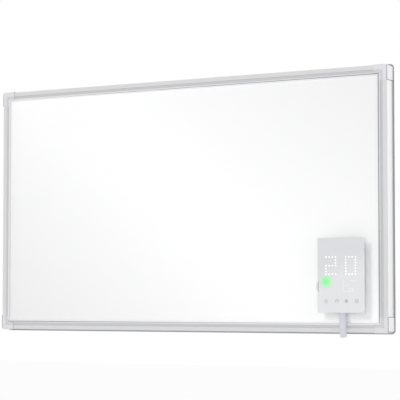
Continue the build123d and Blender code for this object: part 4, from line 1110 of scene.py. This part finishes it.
@dataclass
class Repeat:
    """One small piece set many times.

    Attributes:
        name: Name of the finished piece.
        finish: Its finish.
        spots: Where each copy goes.
        turns: Rotation of each copy in radians, or none.
    """

    name: str
    finish: Finish
    spots: list[Vector]
    turns: list[tuple[float, float, float]] = field(default_factory=list)

    def build(self, piece: Piece) -> Piece:
        """Set the piece on every spot and ride on the heater.

        Args:
            piece: The pattern piece, which is dropped.

        Returns:
            All copies as one piece.
        """
        data = bpy.data.meshes.new(self.name)
        data.from_pydata([tuple(spot) for spot in self.spots], [], [])
        turns = self.turns or [(0.0, 0.0, 0.0)] * len(self.spots)
        stored = data.attributes.new("turn", "FLOAT_VECTOR", "POINT")
        stored.data.foreach_set("vector", [angle for turn in turns for angle in turn])
        made = add_object(self.name, data)
        grow(made, repeat_tree(), {"Piece": piece, "Size": 1.0, "Material": self.finish.build()})
        discard(piece)
        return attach(made, HEATER)


def head_spots(boxes: Iterable[Box], head: float) -> list[Vector]:
    """Find where heads seat that face +Y.

    Args:
        boxes: Lowest and highest corner of each screw or rivet.
        head: Height of a head.

    Returns:
        The middle of each head's underside.
    """
    return [Vector(((a.x + b.x) / 2, b.y - head, (a.z + b.z) / 2)) for a, b in boxes]


def pan_head(name: str, radius: float, head: float, shank: float, length: float) -> Piece:
    """Make the pattern of a pan-head screw whose head faces +Y and seats at Y 0.

    Args:
        name: Name of the pattern.
        radius: Radius of the head.
        head: Height of the head.
        shank: Radius of the shank.
        length: Length of the whole screw.

    Returns:
        The screw with its cross recess.
    """
    tip = head - length
    profile = [
        (0.0, tip),
        (0.3 * shank, tip),
        (shank, tip + shank),
        (shank, 0.0),
        (radius, 0.0),
        (radius, 0.35 * head),
        (0.94 * radius, 0.62 * head),
        (0.78 * radius, 0.84 * head),
        (0.5 * radius, 0.97 * head),
        (0.0, head),
    ]
    made = turned(name, profile)
    carve_cross(made, 0.55 * radius, 0.3 * radius, head, 0.6 * head)
    return made


def recessed_screws(name: str, node: str, head: float, shank: float, twist: float) -> Piece:
    """Make pan-head screws with cross recesses where a CAD node has plain ones.

    Args:
        name: Name of the finished piece.
        node: Name of the node.
        head: Height of a head.
        shank: Radius of a shank.
        twist: Turn from one screw to the next, in radians.

    Returns:
        All screws as one piece.
    """
    boxes = solids_of(node)
    low, high = boxes[0]
    length = min(top.y - bottom.y for bottom, top in boxes)
    pattern = pan_head(f"{name}_pattern", (high.x - low.x) / 2, head, shank, length)
    turns = [(0.0, twist * index, 0.0) for index in range(len(boxes))]
    return Repeat(name, ZINC_PLATE, head_spots(boxes, head), turns).build(pattern)


# ------------------------------------------------------------------------------ flat marks


@dataclass
class FlatMarks:
    """Thin printed marks on a plane that faces the room.

    Attributes:
        plane_y: Y of the surface that carries them, in metres.
        thick: How far they stand in front of it.
        step_deg: Angle that one piece of a curved stroke takes.
        mesh: The marks so far.
    """

    plane_y: float
    thick: float = 0.06 * MM
    step_deg: float = 15.0
    mesh: Mesh = field(default_factory=bmesh.new)

    def area(self, outline: Sequence[Point]) -> None:
        """Add a filled outline as a thin solid.

        Args:
            outline: X and Z of its points.
        """
        depths = (self.plane_y - self.thick, self.plane_y + self.thick)
        front, back = ([self.mesh.verts.new((x, y, z)) for x, z in outline] for y in depths)
        self.mesh.faces.new(front)
        self.mesh.faces.new(list(reversed(back)))
        join_rings(self.mesh, front, back)

    def line(self, start: Point, end: Point, width: float) -> None:
        """Add a straight stroke with square ends.

        Args:
            start: X and Z of its first point.
            end: X and Z of its last point.
            width: Its width.
        """
        along = Vector((end[0] - start[0], end[1] - start[1])).normalized() * width / 2
        across = Vector((-along.y, along.x))
        first, last = Vector(start) - along, Vector(end) + along
        corners = (first + across, first - across, last - across, last + across)
        self.area([tuple(corner) for corner in corners])

    def arc(self, centre: Point, radius: float, width: float, span_deg: Point) -> None:
        """Add a curved stroke.

        Args:
            centre: X and Z of its centre.
            radius: Radius of its middle line.
            width: Its width.
            span_deg: Its first and last angle from the X axis.
        """
        first_deg, last_deg = span_deg
        steps = max(3, round(abs(last_deg - first_deg) / self.step_deg))
        turn = (last_deg - first_deg) / steps
        angles = [math.radians(first_deg + turn * step) for step in range(steps + 1)]
        inner, outer = radius - width / 2, radius + width / 2
        for first, second in zip(angles, angles[1:]):
            rim = ((inner, first), (outer, first), (outer, second), (inner, second))
            self.area(
                [
                    (centre[0] + reach * math.cos(angle), centre[1] + reach * math.sin(angle))
                    for reach, angle in rim
                ]
            )

    def finish(self, name: str, finish: Finish) -> Piece:
        """Close the marks as one piece on the heater.

        Args:
            name: Name of the piece.
            finish: Its finish.

        Returns:
            The piece.
        """
        made = to_object(self.mesh, name, None)
        made.data.materials.append(finish.build())
        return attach(made, HEATER)


# ------------------------------------------------------------------------------ sub-assemblies


@dataclass
class Surround:
    """Frame of four rails and four corner pieces, with the gasket beside the sheet.

    Attributes:
        sides: Names of the long sides.
        ends: Names of the short sides.
    """

    sides: tuple[str, ...] = ("top", "bottom")
    ends: tuple[str, ...] = ("left", "right")

    def build(self) -> list[Piece]:
        """Dress the frame and the gasket.

        Returns:
            No new piece.
        """
        dress(RAIL_ALONG_X, [f"rail_{side}" for side in self.sides])
        dress(RAIL_ALONG_Z, [f"rail_{end}" for end in self.ends])
        dress(CORNER_ABS, [f"corner_{side}_{end}" for side in self.sides for end in self.ends])
        dress(GASKET_RUBBER, ["sheet_gasket"])
        return []


@dataclass
class HeatingStack:
    """Sheet, film, copper strips and board that lie in the frame."""

    def build(self) -> list[Piece]:
        """Dress the layers from front to back.

        Returns:
            No new piece.
        """
        dress(POWDER_COAT, ["front_sheet"])
        dress(CARBON_FILM, ["heating_film"])
        dress(COPPER, ["bus_bars"])
        dress(MINERAL_BOARD, ["insulation_board"])
        return []


@dataclass
class BackTray:
    """Galvanised tray with its screws, hangers, rivets and wall brackets.

    Attributes:
        screw_head: Height of a screw's head.
        screw_shank: Radius of its shank.
        screw_twist: Turn from one screw to the next, in radians.
        rivet_head: Height of a rivet's head.
        rivet_shank: Radius of its shank.
        mandrel: Radius of the pulled mandrel's hole.
    """

    screw_head: float = 2.0 * MM
    screw_shank: float = 1.9 * MM
    screw_twist: float = 0.7
    rivet_head: float = 1.2 * MM
    rivet_shank: float = 2.0 * MM
    mandrel: float = 0.9 * MM

    def build(self) -> list[Piece]:
        """Dress the tray and its fittings, and make real heads on screws and rivets.

        Returns:
            The screws and the rivets.
        """
        spots = [f"{side}_{end}" for side in ("top", "bottom") for end in ("left", "right")]
        dress(GALVANISED, ["back_tray"])
        fittings = [f"{part}_{spot}" for part in ("hanger", "wall_bracket") for spot in spots]
        dress(ZINC_PLATE, fittings)
        return [self.screws(), self.rivets()]

    def screws(self) -> Piece:
        """Set pan-head screws with cross recesses in place of the plain ones.

        Returns:
            The screws.
        """
        name, node = "tray_screw_heads", "tray_screws"
        made = recessed_screws(name, node, self.screw_head, self.screw_shank, self.screw_twist)
        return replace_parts(made, "tray_screws")

    def rivets(self) -> Piece:
        """Set blind rivets with domed heads and the hole of the pulled mandrel.

        Returns:
            The rivets.
        """
        boxes = solids_of("hanger_rivets")
        low, high = boxes[0]
        radius = (high.x - low.x) / 2
        head, shank, hole = self.rivet_head, self.rivet_shank, self.mandrel
        tail = head - (high.y - low.y)
        profile = [
            (0.0, tail),
            (0.8 * shank, tail),
            (shank, 0.9 * tail),
            (shank, 0.0),
            (radius, 0.0),
            (0.97 * radius, 0.3 * head),
            (0.82 * radius, 0.65 * head),
            (0.55 * radius, 0.92 * head),
            (1.15 * hole, head),
            (hole, 0.9 * head),
            (hole, 0.1 * head),
            (0.0, 0.1 * head),
        ]
        pattern = turned("rivet_pattern", profile)
        made = Repeat("blind_rivets", ZINC_PLATE, head_spots(boxes, head)).build(pattern)
        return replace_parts(made, "hanger_rivets")


@dataclass
class JunctionBox:
    """Box behind the tray, where the unit's lead meets the film's feed.

    Attributes:
        lid_head: Height of a screw's head.
        lid_shank: Radius of its shank.
        lid_twist: Turn from one screw to the next, in radians.
        grip_count: Ribs round a gland's cap nut.
        grip_radius: Radius of a rib.
        grip_share: Share of the cap's length that a rib takes on either side of its middle.
        cap_radius: Radius of the cap nut, where the ribs stand.
        cap_length: Its length.
    """

    lid_head: float = 1.0 * MM
    lid_shank: float = 1.45 * MM
    lid_twist: float = 0.5
    grip_count: int = 14
    grip_radius: float = 0.45 * MM
    grip_share: float = 0.42
    cap_radius: float = 4.9 * MM
    cap_length: float = 6.0 * MM

    def build(self) -> list[Piece]:
        """Dress the box and what is in it, and add screw heads and gland grips.

        Returns:
            The screws and the grips.
        """
        dress(NYLON, ["junction_box", "junction_lid", "lead_gland", "mains_gland", "wire_grommet"])
        dress(DARK_MOULDING, ["terminal_block", "overheat_cutout"])
        dress(CORE_JACKET, ["feed_wires"])
        return [self.screws(), self.grips()]

    def screws(self) -> Piece:
        """Set the lid's screws and the base screws inside the box.

        Returns:
            The screws.
        """
        name, node = "junction_screw_heads", "junction_screws"
        made = recessed_screws(name, node, self.lid_head, self.lid_shank, self.lid_twist)
        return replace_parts(made, "junction_screws")

    def grips(self) -> Piece:
        """Set grip ribs round the cap nuts of both glands.

        Returns:
            The ribs.
        """
        mesh = bmesh.new()
        bmesh.ops.create_uvsphere(mesh, u_segments=8, v_segments=6, radius=self.grip_radius)
        for vertex in mesh.verts:
            vertex.co.z *= self.grip_share * self.cap_length / self.grip_radius
        spots, turns = [], []
        for gland in ("lead_gland", "mains_gland"):
            centre = middle(gland)
            centre.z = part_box(gland)[0].z + self.cap_length / 2
            for step in range(self.grip_count):
                angle = 2 * math.pi * step / self.grip_count
                out = Vector((math.cos(angle), math.sin(angle), 0.0)) * self.cap_radius
                spots.append(centre + out)
                turns.append((0.0, 0.0, angle))
        made = Repeat("gland_grips", NYLON, spots, turns).build(to_object(mesh, "grip_pattern"))
        return made


@dataclass(frozen=True)
class Sign:
    """One touch sign, drawn round its own middle in units of the signs' scale.

    Attributes:
        across_mm: Its middle, from the face's left edge.
        strokes: First and last point of each straight stroke.
        radius: Radius of its curved stroke, or 0.
        span_deg: First and last angle of that stroke.
        square: Width of its strokes where they are short squares, or 0 for the usual width.
    """

    across_mm: float
    strokes: tuple[tuple[Point, Point], ...]
    radius: float = 0.0
    span_deg: Point = (0.0, 0.0)
    square: float = 0.0

    def draw(self, marks: FlatMarks, centre: Point, unit: float, stroke: float) -> None:
        """Draw the sign.

        Args:
            marks: The marks that it joins.
            centre: X and Z of its middle, in metres.
            unit: Length of one unit.
            stroke: The usual width of a stroke.
        """
        if self.radius:
            marks.arc(centre, self.radius * unit, stroke, self.span_deg)
        for line in self.strokes:
            start, end = ((centre[0] + x * unit, centre[1] + z * unit) for x, z in line)
            marks.line(start, end, self.square * unit or stroke)


@dataclass
class ControlUnit:
    """Control unit on the sheet: milky face with display, signs and light, and its shell.

    Attributes:
        figures: Lit dots of the two figures, row by row.
        first_columns_mm: Left column of each figure, from the face's left edge.
        first_row_mm: Top row of the figures, below the face's top edge.
        column_mm: Pitch of the dot columns.
        row_mm: Pitch of the dot rows.
        dot_mm: Radius of a dot.
        dot_rise_mm: How far a dot stands in front of the face.
        faint_lines_mm: First point, last point and width of the unlit lines, from the face's top
            left corner across and down.
        faint_cells_mm: Columns and rows of the unlit cells, from the same corner.
        faint_cell_mm: Length and width of a cell.
        signs: The four touch signs: up, ring, grid and clock.
        sign_row_mm: Middle of the signs, above the face's bottom edge.
        sign_unit_mm: Unit in which they are drawn.
        stroke_mm: Width of their strokes.
    """

    figures: tuple[tuple[str, ...], ...] = (
        ("####", "...#", "...#", "####", "#...", "#...", "####"),
        ("####", "#..#", "#..#", "#..#", "#..#", "#..#", "####"),
    )
    first_columns_mm: Point = (18.1, 59.4)
    first_row_mm: float = 35.6
    column_mm: float = 6.7
    row_mm: float = 5.4
    dot_mm: float = 1.35
    dot_rise_mm: float = 0.2
    faint_lines_mm: tuple[tuple[Point, Point, float], ...] = (
        ((53.7, 79.0), (53.7, 101.0), 1.28),
        ((56.0, 89.5), (63.0, 89.5), 0.8),
        ((56.0, 100.6), (63.0, 100.6), 0.8),
        ((68.0, 80.0), (80.0, 80.0), 0.8),
    )
    faint_cells_mm: tuple[tuple[float, ...], ...] = ((65.0, 69.0, 73.0), (95.6, 99.4))
    faint_cell_mm: Point = (1.0, 1.8)
    signs: tuple[Sign, ...] = (
        Sign(
            18.1,
            (((-2.6, -1.4), (0.0, 2.4)), ((2.6, -1.4), (0.0, 2.4)), ((-1.9, -2.7), (1.9, -2.7))),
        ),
        Sign(41.1, (((-0.8, 0.0), (0.8, 0.0)),), 2.5, (-60.0, 240.0)),
        Sign(
            60.5,
            tuple(((x - 0.1, z), (x + 0.1, z)) for x in (-1.6, 0.0, 1.6) for z in (-1.6, 0.0, 1.6)),
            square=1.2,
        ),
        Sign(82.0, (((0.0, 0.0), (0.0, 1.7)), ((0.0, 0.0), (1.2, -0.5))), 2.8, (110.0, 430.0)),
    )
    sign_row_mm: float = 22.1
    sign_unit_mm: float = 1.25
    stroke_mm: float = 0.8

    def build(self) -> list[Piece]:
        """Dress the unit's nodes and draw what its face shows.

        Returns:
            The lit dots, the unlit marks and the signs.
        """
        dress(MILKY_PLATE, ["unit_face"])
        dress(UNIT_ABS, ["unit_housing", "unit_back_cover", "mount_plate"])
        dress(SILICONE, ["mount_pads"])
        dress(SOLDER_MASK, ["circuit_board"])
        dress(DARK_MOULDING, ["display_module", "relay", "key_switch", "lead_connector"])
        dress(CORE_JACKET, ["unit_wires", "room_sensor"])
        dress(SPRING_STEEL, ["touch_springs"])
        dress(ZINC_PLATE, ["unit_screws"])
        dress(LIGHT_GUIDE, ["status_light_guide"])
        return [self.dots(), self.faint_marks(), self.touch_signs()]

    def on_face(self, across_mm: float, down_mm: float) -> Point:
        """X and Z of a point given from the face's top left corner."""
        low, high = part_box("unit_face")
        return low.x + across_mm * MM, high.z - down_mm * MM

    def dots(self) -> Piece:
        """Set the lit dots of the two figures as low domes in the face.

        Returns:
            The dots.
        """
        plane_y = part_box("unit_face")[0].y
        spots = []
        for figure, first in zip(self.figures, self.first_columns_mm):
            for row, cells in enumerate(figure):
                for column, cell in enumerate(cells):
                    if cell == "#":
                        across = first + column * self.column_mm
                        x, z = self.on_face(across, self.first_row_mm + row * self.row_mm)
                        spots.append(Vector((x, plane_y, z)))
        mesh = bmesh.new()
        bmesh.ops.create_uvsphere(mesh, u_segments=16, v_segments=8, radius=self.dot_mm * MM)
        for vertex in mesh.verts:
            vertex.co.y *= self.dot_rise_mm / self.dot_mm
        made = Repeat("display_dots", LIT_DOT, spots).build(to_object(mesh, "dot_pattern"))
        return made

    def faint_marks(self) -> Piece:
        """Draw the unlit marks of the display, right below the second figure.

        Returns:
            The marks.
        """
        marks = FlatMarks(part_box("unit_face")[0].y)
        for start, end, width_mm in self.faint_lines_mm:
            marks.line(self.on_face(*start), self.on_face(*end), width_mm * MM)
        columns, rows = self.faint_cells_mm
        length_mm, width_mm = self.faint_cell_mm
        for across in columns:
            for down in rows:
                start, end = self.on_face(across, down), self.on_face(across + length_mm, down)
                marks.line(start, end, width_mm * MM)
        made = marks.finish("unlit_marks", UNLIT_MARK)
        return made

    def touch_signs(self) -> Piece:
        """Draw four plain signs over the touch fields.

        Returns:
            The signs.
        """
        low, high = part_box("unit_face")
        marks = FlatMarks(low.y)
        row_z = low.z + self.sign_row_mm * MM
        for sign in self.signs:
            centre = (low.x + sign.across_mm * MM, row_z)
            sign.draw(marks, centre, self.sign_unit_mm * MM, self.stroke_mm * MM)
        made = marks.finish("touch_signs", SIGN_INK)
        return made


@dataclass
class PushKey:
    """Convex push key on the unit's left edge, and the spring that brings it back.

    Attributes:
        turns: Turns of the spring.
        wire_mm: Thickness of its wire.
        clear_mm: Gap that keeps the turned wire off the key's flange.
    """

    turns: float = 3.0
    wire_mm: float = 0.6
    clear_mm: float = 0.02

    def build(self) -> list[Piece]:
        """Dress the key and wind its spring.

        Returns:
            The spring.
        """
        dress(KEY_ABS, ["power_key"])
        return [self.spring()]

    def spring(self) -> Piece:
        """Wind the coil between the key's flange and the switch.

        Returns:
            The spring.
        """
        low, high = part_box("key_spring")
        wire = self.wire_mm * MM
        start = low.x + self.clear_mm * MM
        made = add_object("return_spring", bpy.data.meshes.new("return_spring"))
        sizes = {
            "Turns": self.turns,
            "Radius": (high.z - low.z - wire) / 2,
            "Height": high.x - start - wire,
            "Wire Radius": wire / 2,
            "Material": SPRING_STEEL.build(),
        }
        grow(made, coil_tree(), sizes)
        seat = Vector((start + wire / 2, (low.y + high.y) / 2, (low.z + high.z) / 2))
        made.data.transform(Matrix.Translation(seat) @ Matrix.Rotation(math.pi / 2, 4, "Y"))
        for face in made.data.polygons:
            face.use_smooth = len(face.vertices) == 4
        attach(made, HEATER)
        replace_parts(made, "key_spring")
        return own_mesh(made)


@dataclass
class LinkLead:
    """Ribbed boot under the unit and the short lead to the junction box."""

    def build(self) -> list[Piece]:
        """Dress the boot and the lead.

        Returns:
            No new piece.
        """
        dress(SOFT_PVC, ["strain_relief", "link_lead"])
        # The photograph's rail doesn't mirror the boot.
        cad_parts["strain_relief"].visible_glossy = False
        return []


# ------------------------------------------------------------------------------ studio


def ray_masks(tree: Tree) -> tuple[Socket, Node]:
    """Tell the eye's own rays from those that a piece mirrors or lets through.

    Args:
        tree: The node tree that gets the nodes.

    Returns:
        The masks of the first and of the second.
    """
    path = add_node(tree, "ShaderNodeLightPath").outputs
    bent = strongest(tree, [(path[f"Is {kind} Ray"], 1.0) for kind in ("Glossy", "Transmission")])
    return path["Is Camera Ray"], bent


@dataclass(frozen=True)
class Softbox:
    """Soft rectangular lamp that lights the object and isn't seen itself.

    Attributes:
        name: Name of the lamp.
        spot: Where its middle is.
        size: Its length and width.
        power: Its power in watts.
        aim: Point that it faces.
        roll_deg: Turn about its own axis.
    """

    name: str
    spot: tuple[float, float, float]
    size: Point
    power: float
    aim: tuple[float, float, float] = (0.0, 0.0, 0.0)
    roll_deg: float = 0.0

    def build(self) -> Piece:
        """Hang the lamp and turn it to its aim.

        Returns:
            The lamp.
        """
        lamp = bpy.data.lights.new(self.name, "AREA")
        lamp.shape = "RECTANGLE"
        lamp.size, lamp.size_y = self.size
        lamp.energy = self.power
        made = add_object(self.name, lamp)
        made.location = self.spot
        turn = (Vector(self.aim) - Vector(self.spot)).to_track_quat("-Z", "Y")
        roll = Quaternion((0.0, 0.0, 1.0), math.radians(self.roll_deg))
        made.rotation_euler = (turn @ roll).to_euler()
        made.visible_camera = False
        made.visible_glossy = False
        return made


@dataclass
class Studio:
    """Camera, lamps, white surroundings and a pale floor.

    Attributes:
        camera_spot: Where the camera stands.
        yaw_deg: How far it looks to the left of the wall's normal.
        pitch_deg: How far it looks up.
        lens_mm: Focal length on a sensor 36 mm wide.
        fill: Brightness of the surroundings as a lamp.
        mirrored: Brightness that reflections find in front of and behind the wall's plane.
        mirror_from: Y of a ray's direction up to which it finds the first, and from which it
            finds the second.
        lamps: The soft lamps.
        floor_z: Height of the floor.
        floor_size: Length of its side.
        floor_paint: Its colour.
        floor_glow: Share of the floor's brightness that doesn't depend on the lamps, for the eye
            and for reflections.
    """

    camera_spot: tuple[float, float, float] = (1.890303, -3.036262, -0.187814)
    yaw_deg: float = 31.7235
    pitch_deg: float = 3.189
    lens_mm: float = 160.82
    fill: float = 0.45
    mirrored: Point = (0.86, 1.6)
    mirror_from: Point = (-0.6, 0.6)
    lamps: tuple[Softbox, ...] = (
        Softbox("key_lamp", (-0.4, -3.2, 1.75), (0.8, 0.8), 36.0),
        Softbox("front_lamp", (1.6, -2.9, -0.1), (1.8, 1.8), 25.0),
        Softbox("band_lamp", (0.0, -0.9, 0.0), (2.2, 0.25), 0.32, roll_deg=-29.0),
        Softbox("side_lamp", (2.8, 1.2, 0.3), (1.6, 1.6), 30.0),
        Softbox("right_lamp", (2.8, -0.8, 0.3), (1.6, 1.6), 12.0),
        Softbox("left_lamp", (-3.0, -1.0, -0.6), (1.6, 1.6), 20.0),
    )
    floor_z: float = -1.6
    floor_size: float = 60.0
    floor_paint: str = "#f2f2f2"
    floor_glow: Point = (0.96, 0.75)

    def build(self) -> list[Piece]:
        """Set up the view, the light and the floor.

        Returns:
            The camera, the lamps and the floor.
        """
        self.surroundings()
        bpy.context.scene.view_settings.view_transform = "Standard"
        return [self.camera(), *(lamp.build() for lamp in self.lamps), self.floor()]

    def camera(self) -> Piece:
        """Set up the camera at the photograph's viewing angle.

        Returns:
            The camera.
        """
        yaw, pitch = math.radians(self.yaw_deg), math.radians(self.pitch_deg)
        level = math.cos(pitch)
        ahead = Vector((-math.sin(yaw) * level, math.cos(yaw) * level, math.sin(pitch)))
        lens = bpy.data.cameras.new("camera")
        lens.sensor_width = 36.0
        lens.lens = self.lens_mm
        lens.clip_start, lens.clip_end = 0.01, 100.0
        made = add_object("camera", lens)
        made.location = self.camera_spot
        made.rotation_euler = ahead.to_track_quat("-Z", "Y").to_euler()
        bpy.context.scene.camera = made
        return made

    def surroundings(self) -> None:
        """White for the eye, a pale room for reflections and a soft fill for everything else."""
        world = bpy.data.worlds.new("white_room")
        bpy.context.scene.world = world
        world.use_nodes = True
        tree = world.node_tree
        tree.nodes.clear()
        straight, bent = ray_masks(tree)
        way = add_node(tree, "ShaderNodeTexCoord").outputs["Generated"]
        start, end = self.mirror_from
        front, behind = self.mirrored
        room = {
            "Value": add_node(tree, SPLIT, {"Vector": way}).outputs["Y"],
            "From Min": start,
            "From Max": end,
            "To Min": front,
            "To Max": behind,
        }
        strength: object = self.fill
        for test, value in ((bent, add_node(tree, MAP_RANGE, room)), (straight, 1.0)):
            inputs = {"Factor": test, "A": strength, "B": value}
            strength = add_node(tree, "ShaderNodeMix", inputs, data_type="FLOAT")
        white = {"Color": linear("#ffffff"), "Strength": strength}
        sky = add_node(tree, "ShaderNodeBackground", white)
        add_node(tree, "ShaderNodeOutputWorld", {"Surface": sky})

    def floor(self) -> Piece:
        """Lay the pale matt floor well below the heater.

        Returns:
            The floor.
        """
        mesh = bmesh.new()
        half = self.floor_size / 2
        spots = ((-half, -half), (half, -half), (half, half), (-half, half))
        mesh.faces.new([mesh.verts.new((x, y, self.floor_z)) for x, y in spots])
        made = to_object(mesh, "floor", None)
        made.data.materials.append(self.pale_floor())
        return made

    def pale_floor(self) -> bpy.types.Material:
        """Mix matt paint that the eye sees nearly white, with soft shadows left in it.

        Returns:
            The floor's material.
        """
        material = bpy.data.materials.new("pale_matt_floor")
        material.use_nodes = True
        tree = material.node_tree
        tree.nodes.clear()
        paint = add_node(tree, "ShaderNodeBsdfDiffuse", {"Color": linear(self.floor_paint)})
        white = {"Color": linear("#ffffff"), "Strength": 1.0}
        glow = add_node(tree, "ShaderNodeEmission", white)
        share = strongest(tree, zip(ray_masks(tree), self.floor_glow))
        mix = add_node(tree, "ShaderNodeMixShader", {0: share, 1: paint, 2: glow})
        add_node(tree, "ShaderNodeOutputMaterial", {"Surface": mix})
        return material


# ------------------------------------------------------------------------------ main


def main() -> None:
    """Build every sub-assembly in order and report its pieces."""
    logging.basicConfig(level=logging.INFO, format="%(name)s: %(message)s")
    for part in (
        Studio(),
        Surround(),
        HeatingStack(),
        BackTray(),
        JunctionBox(),
        ControlUnit(),
        PushKey(),
        LinkLead(),
    ):
        for piece in part.build():
            LOG.info("%s made %s", type(part).__name__, piece.name)


if __name__ == "__main__":
    main()
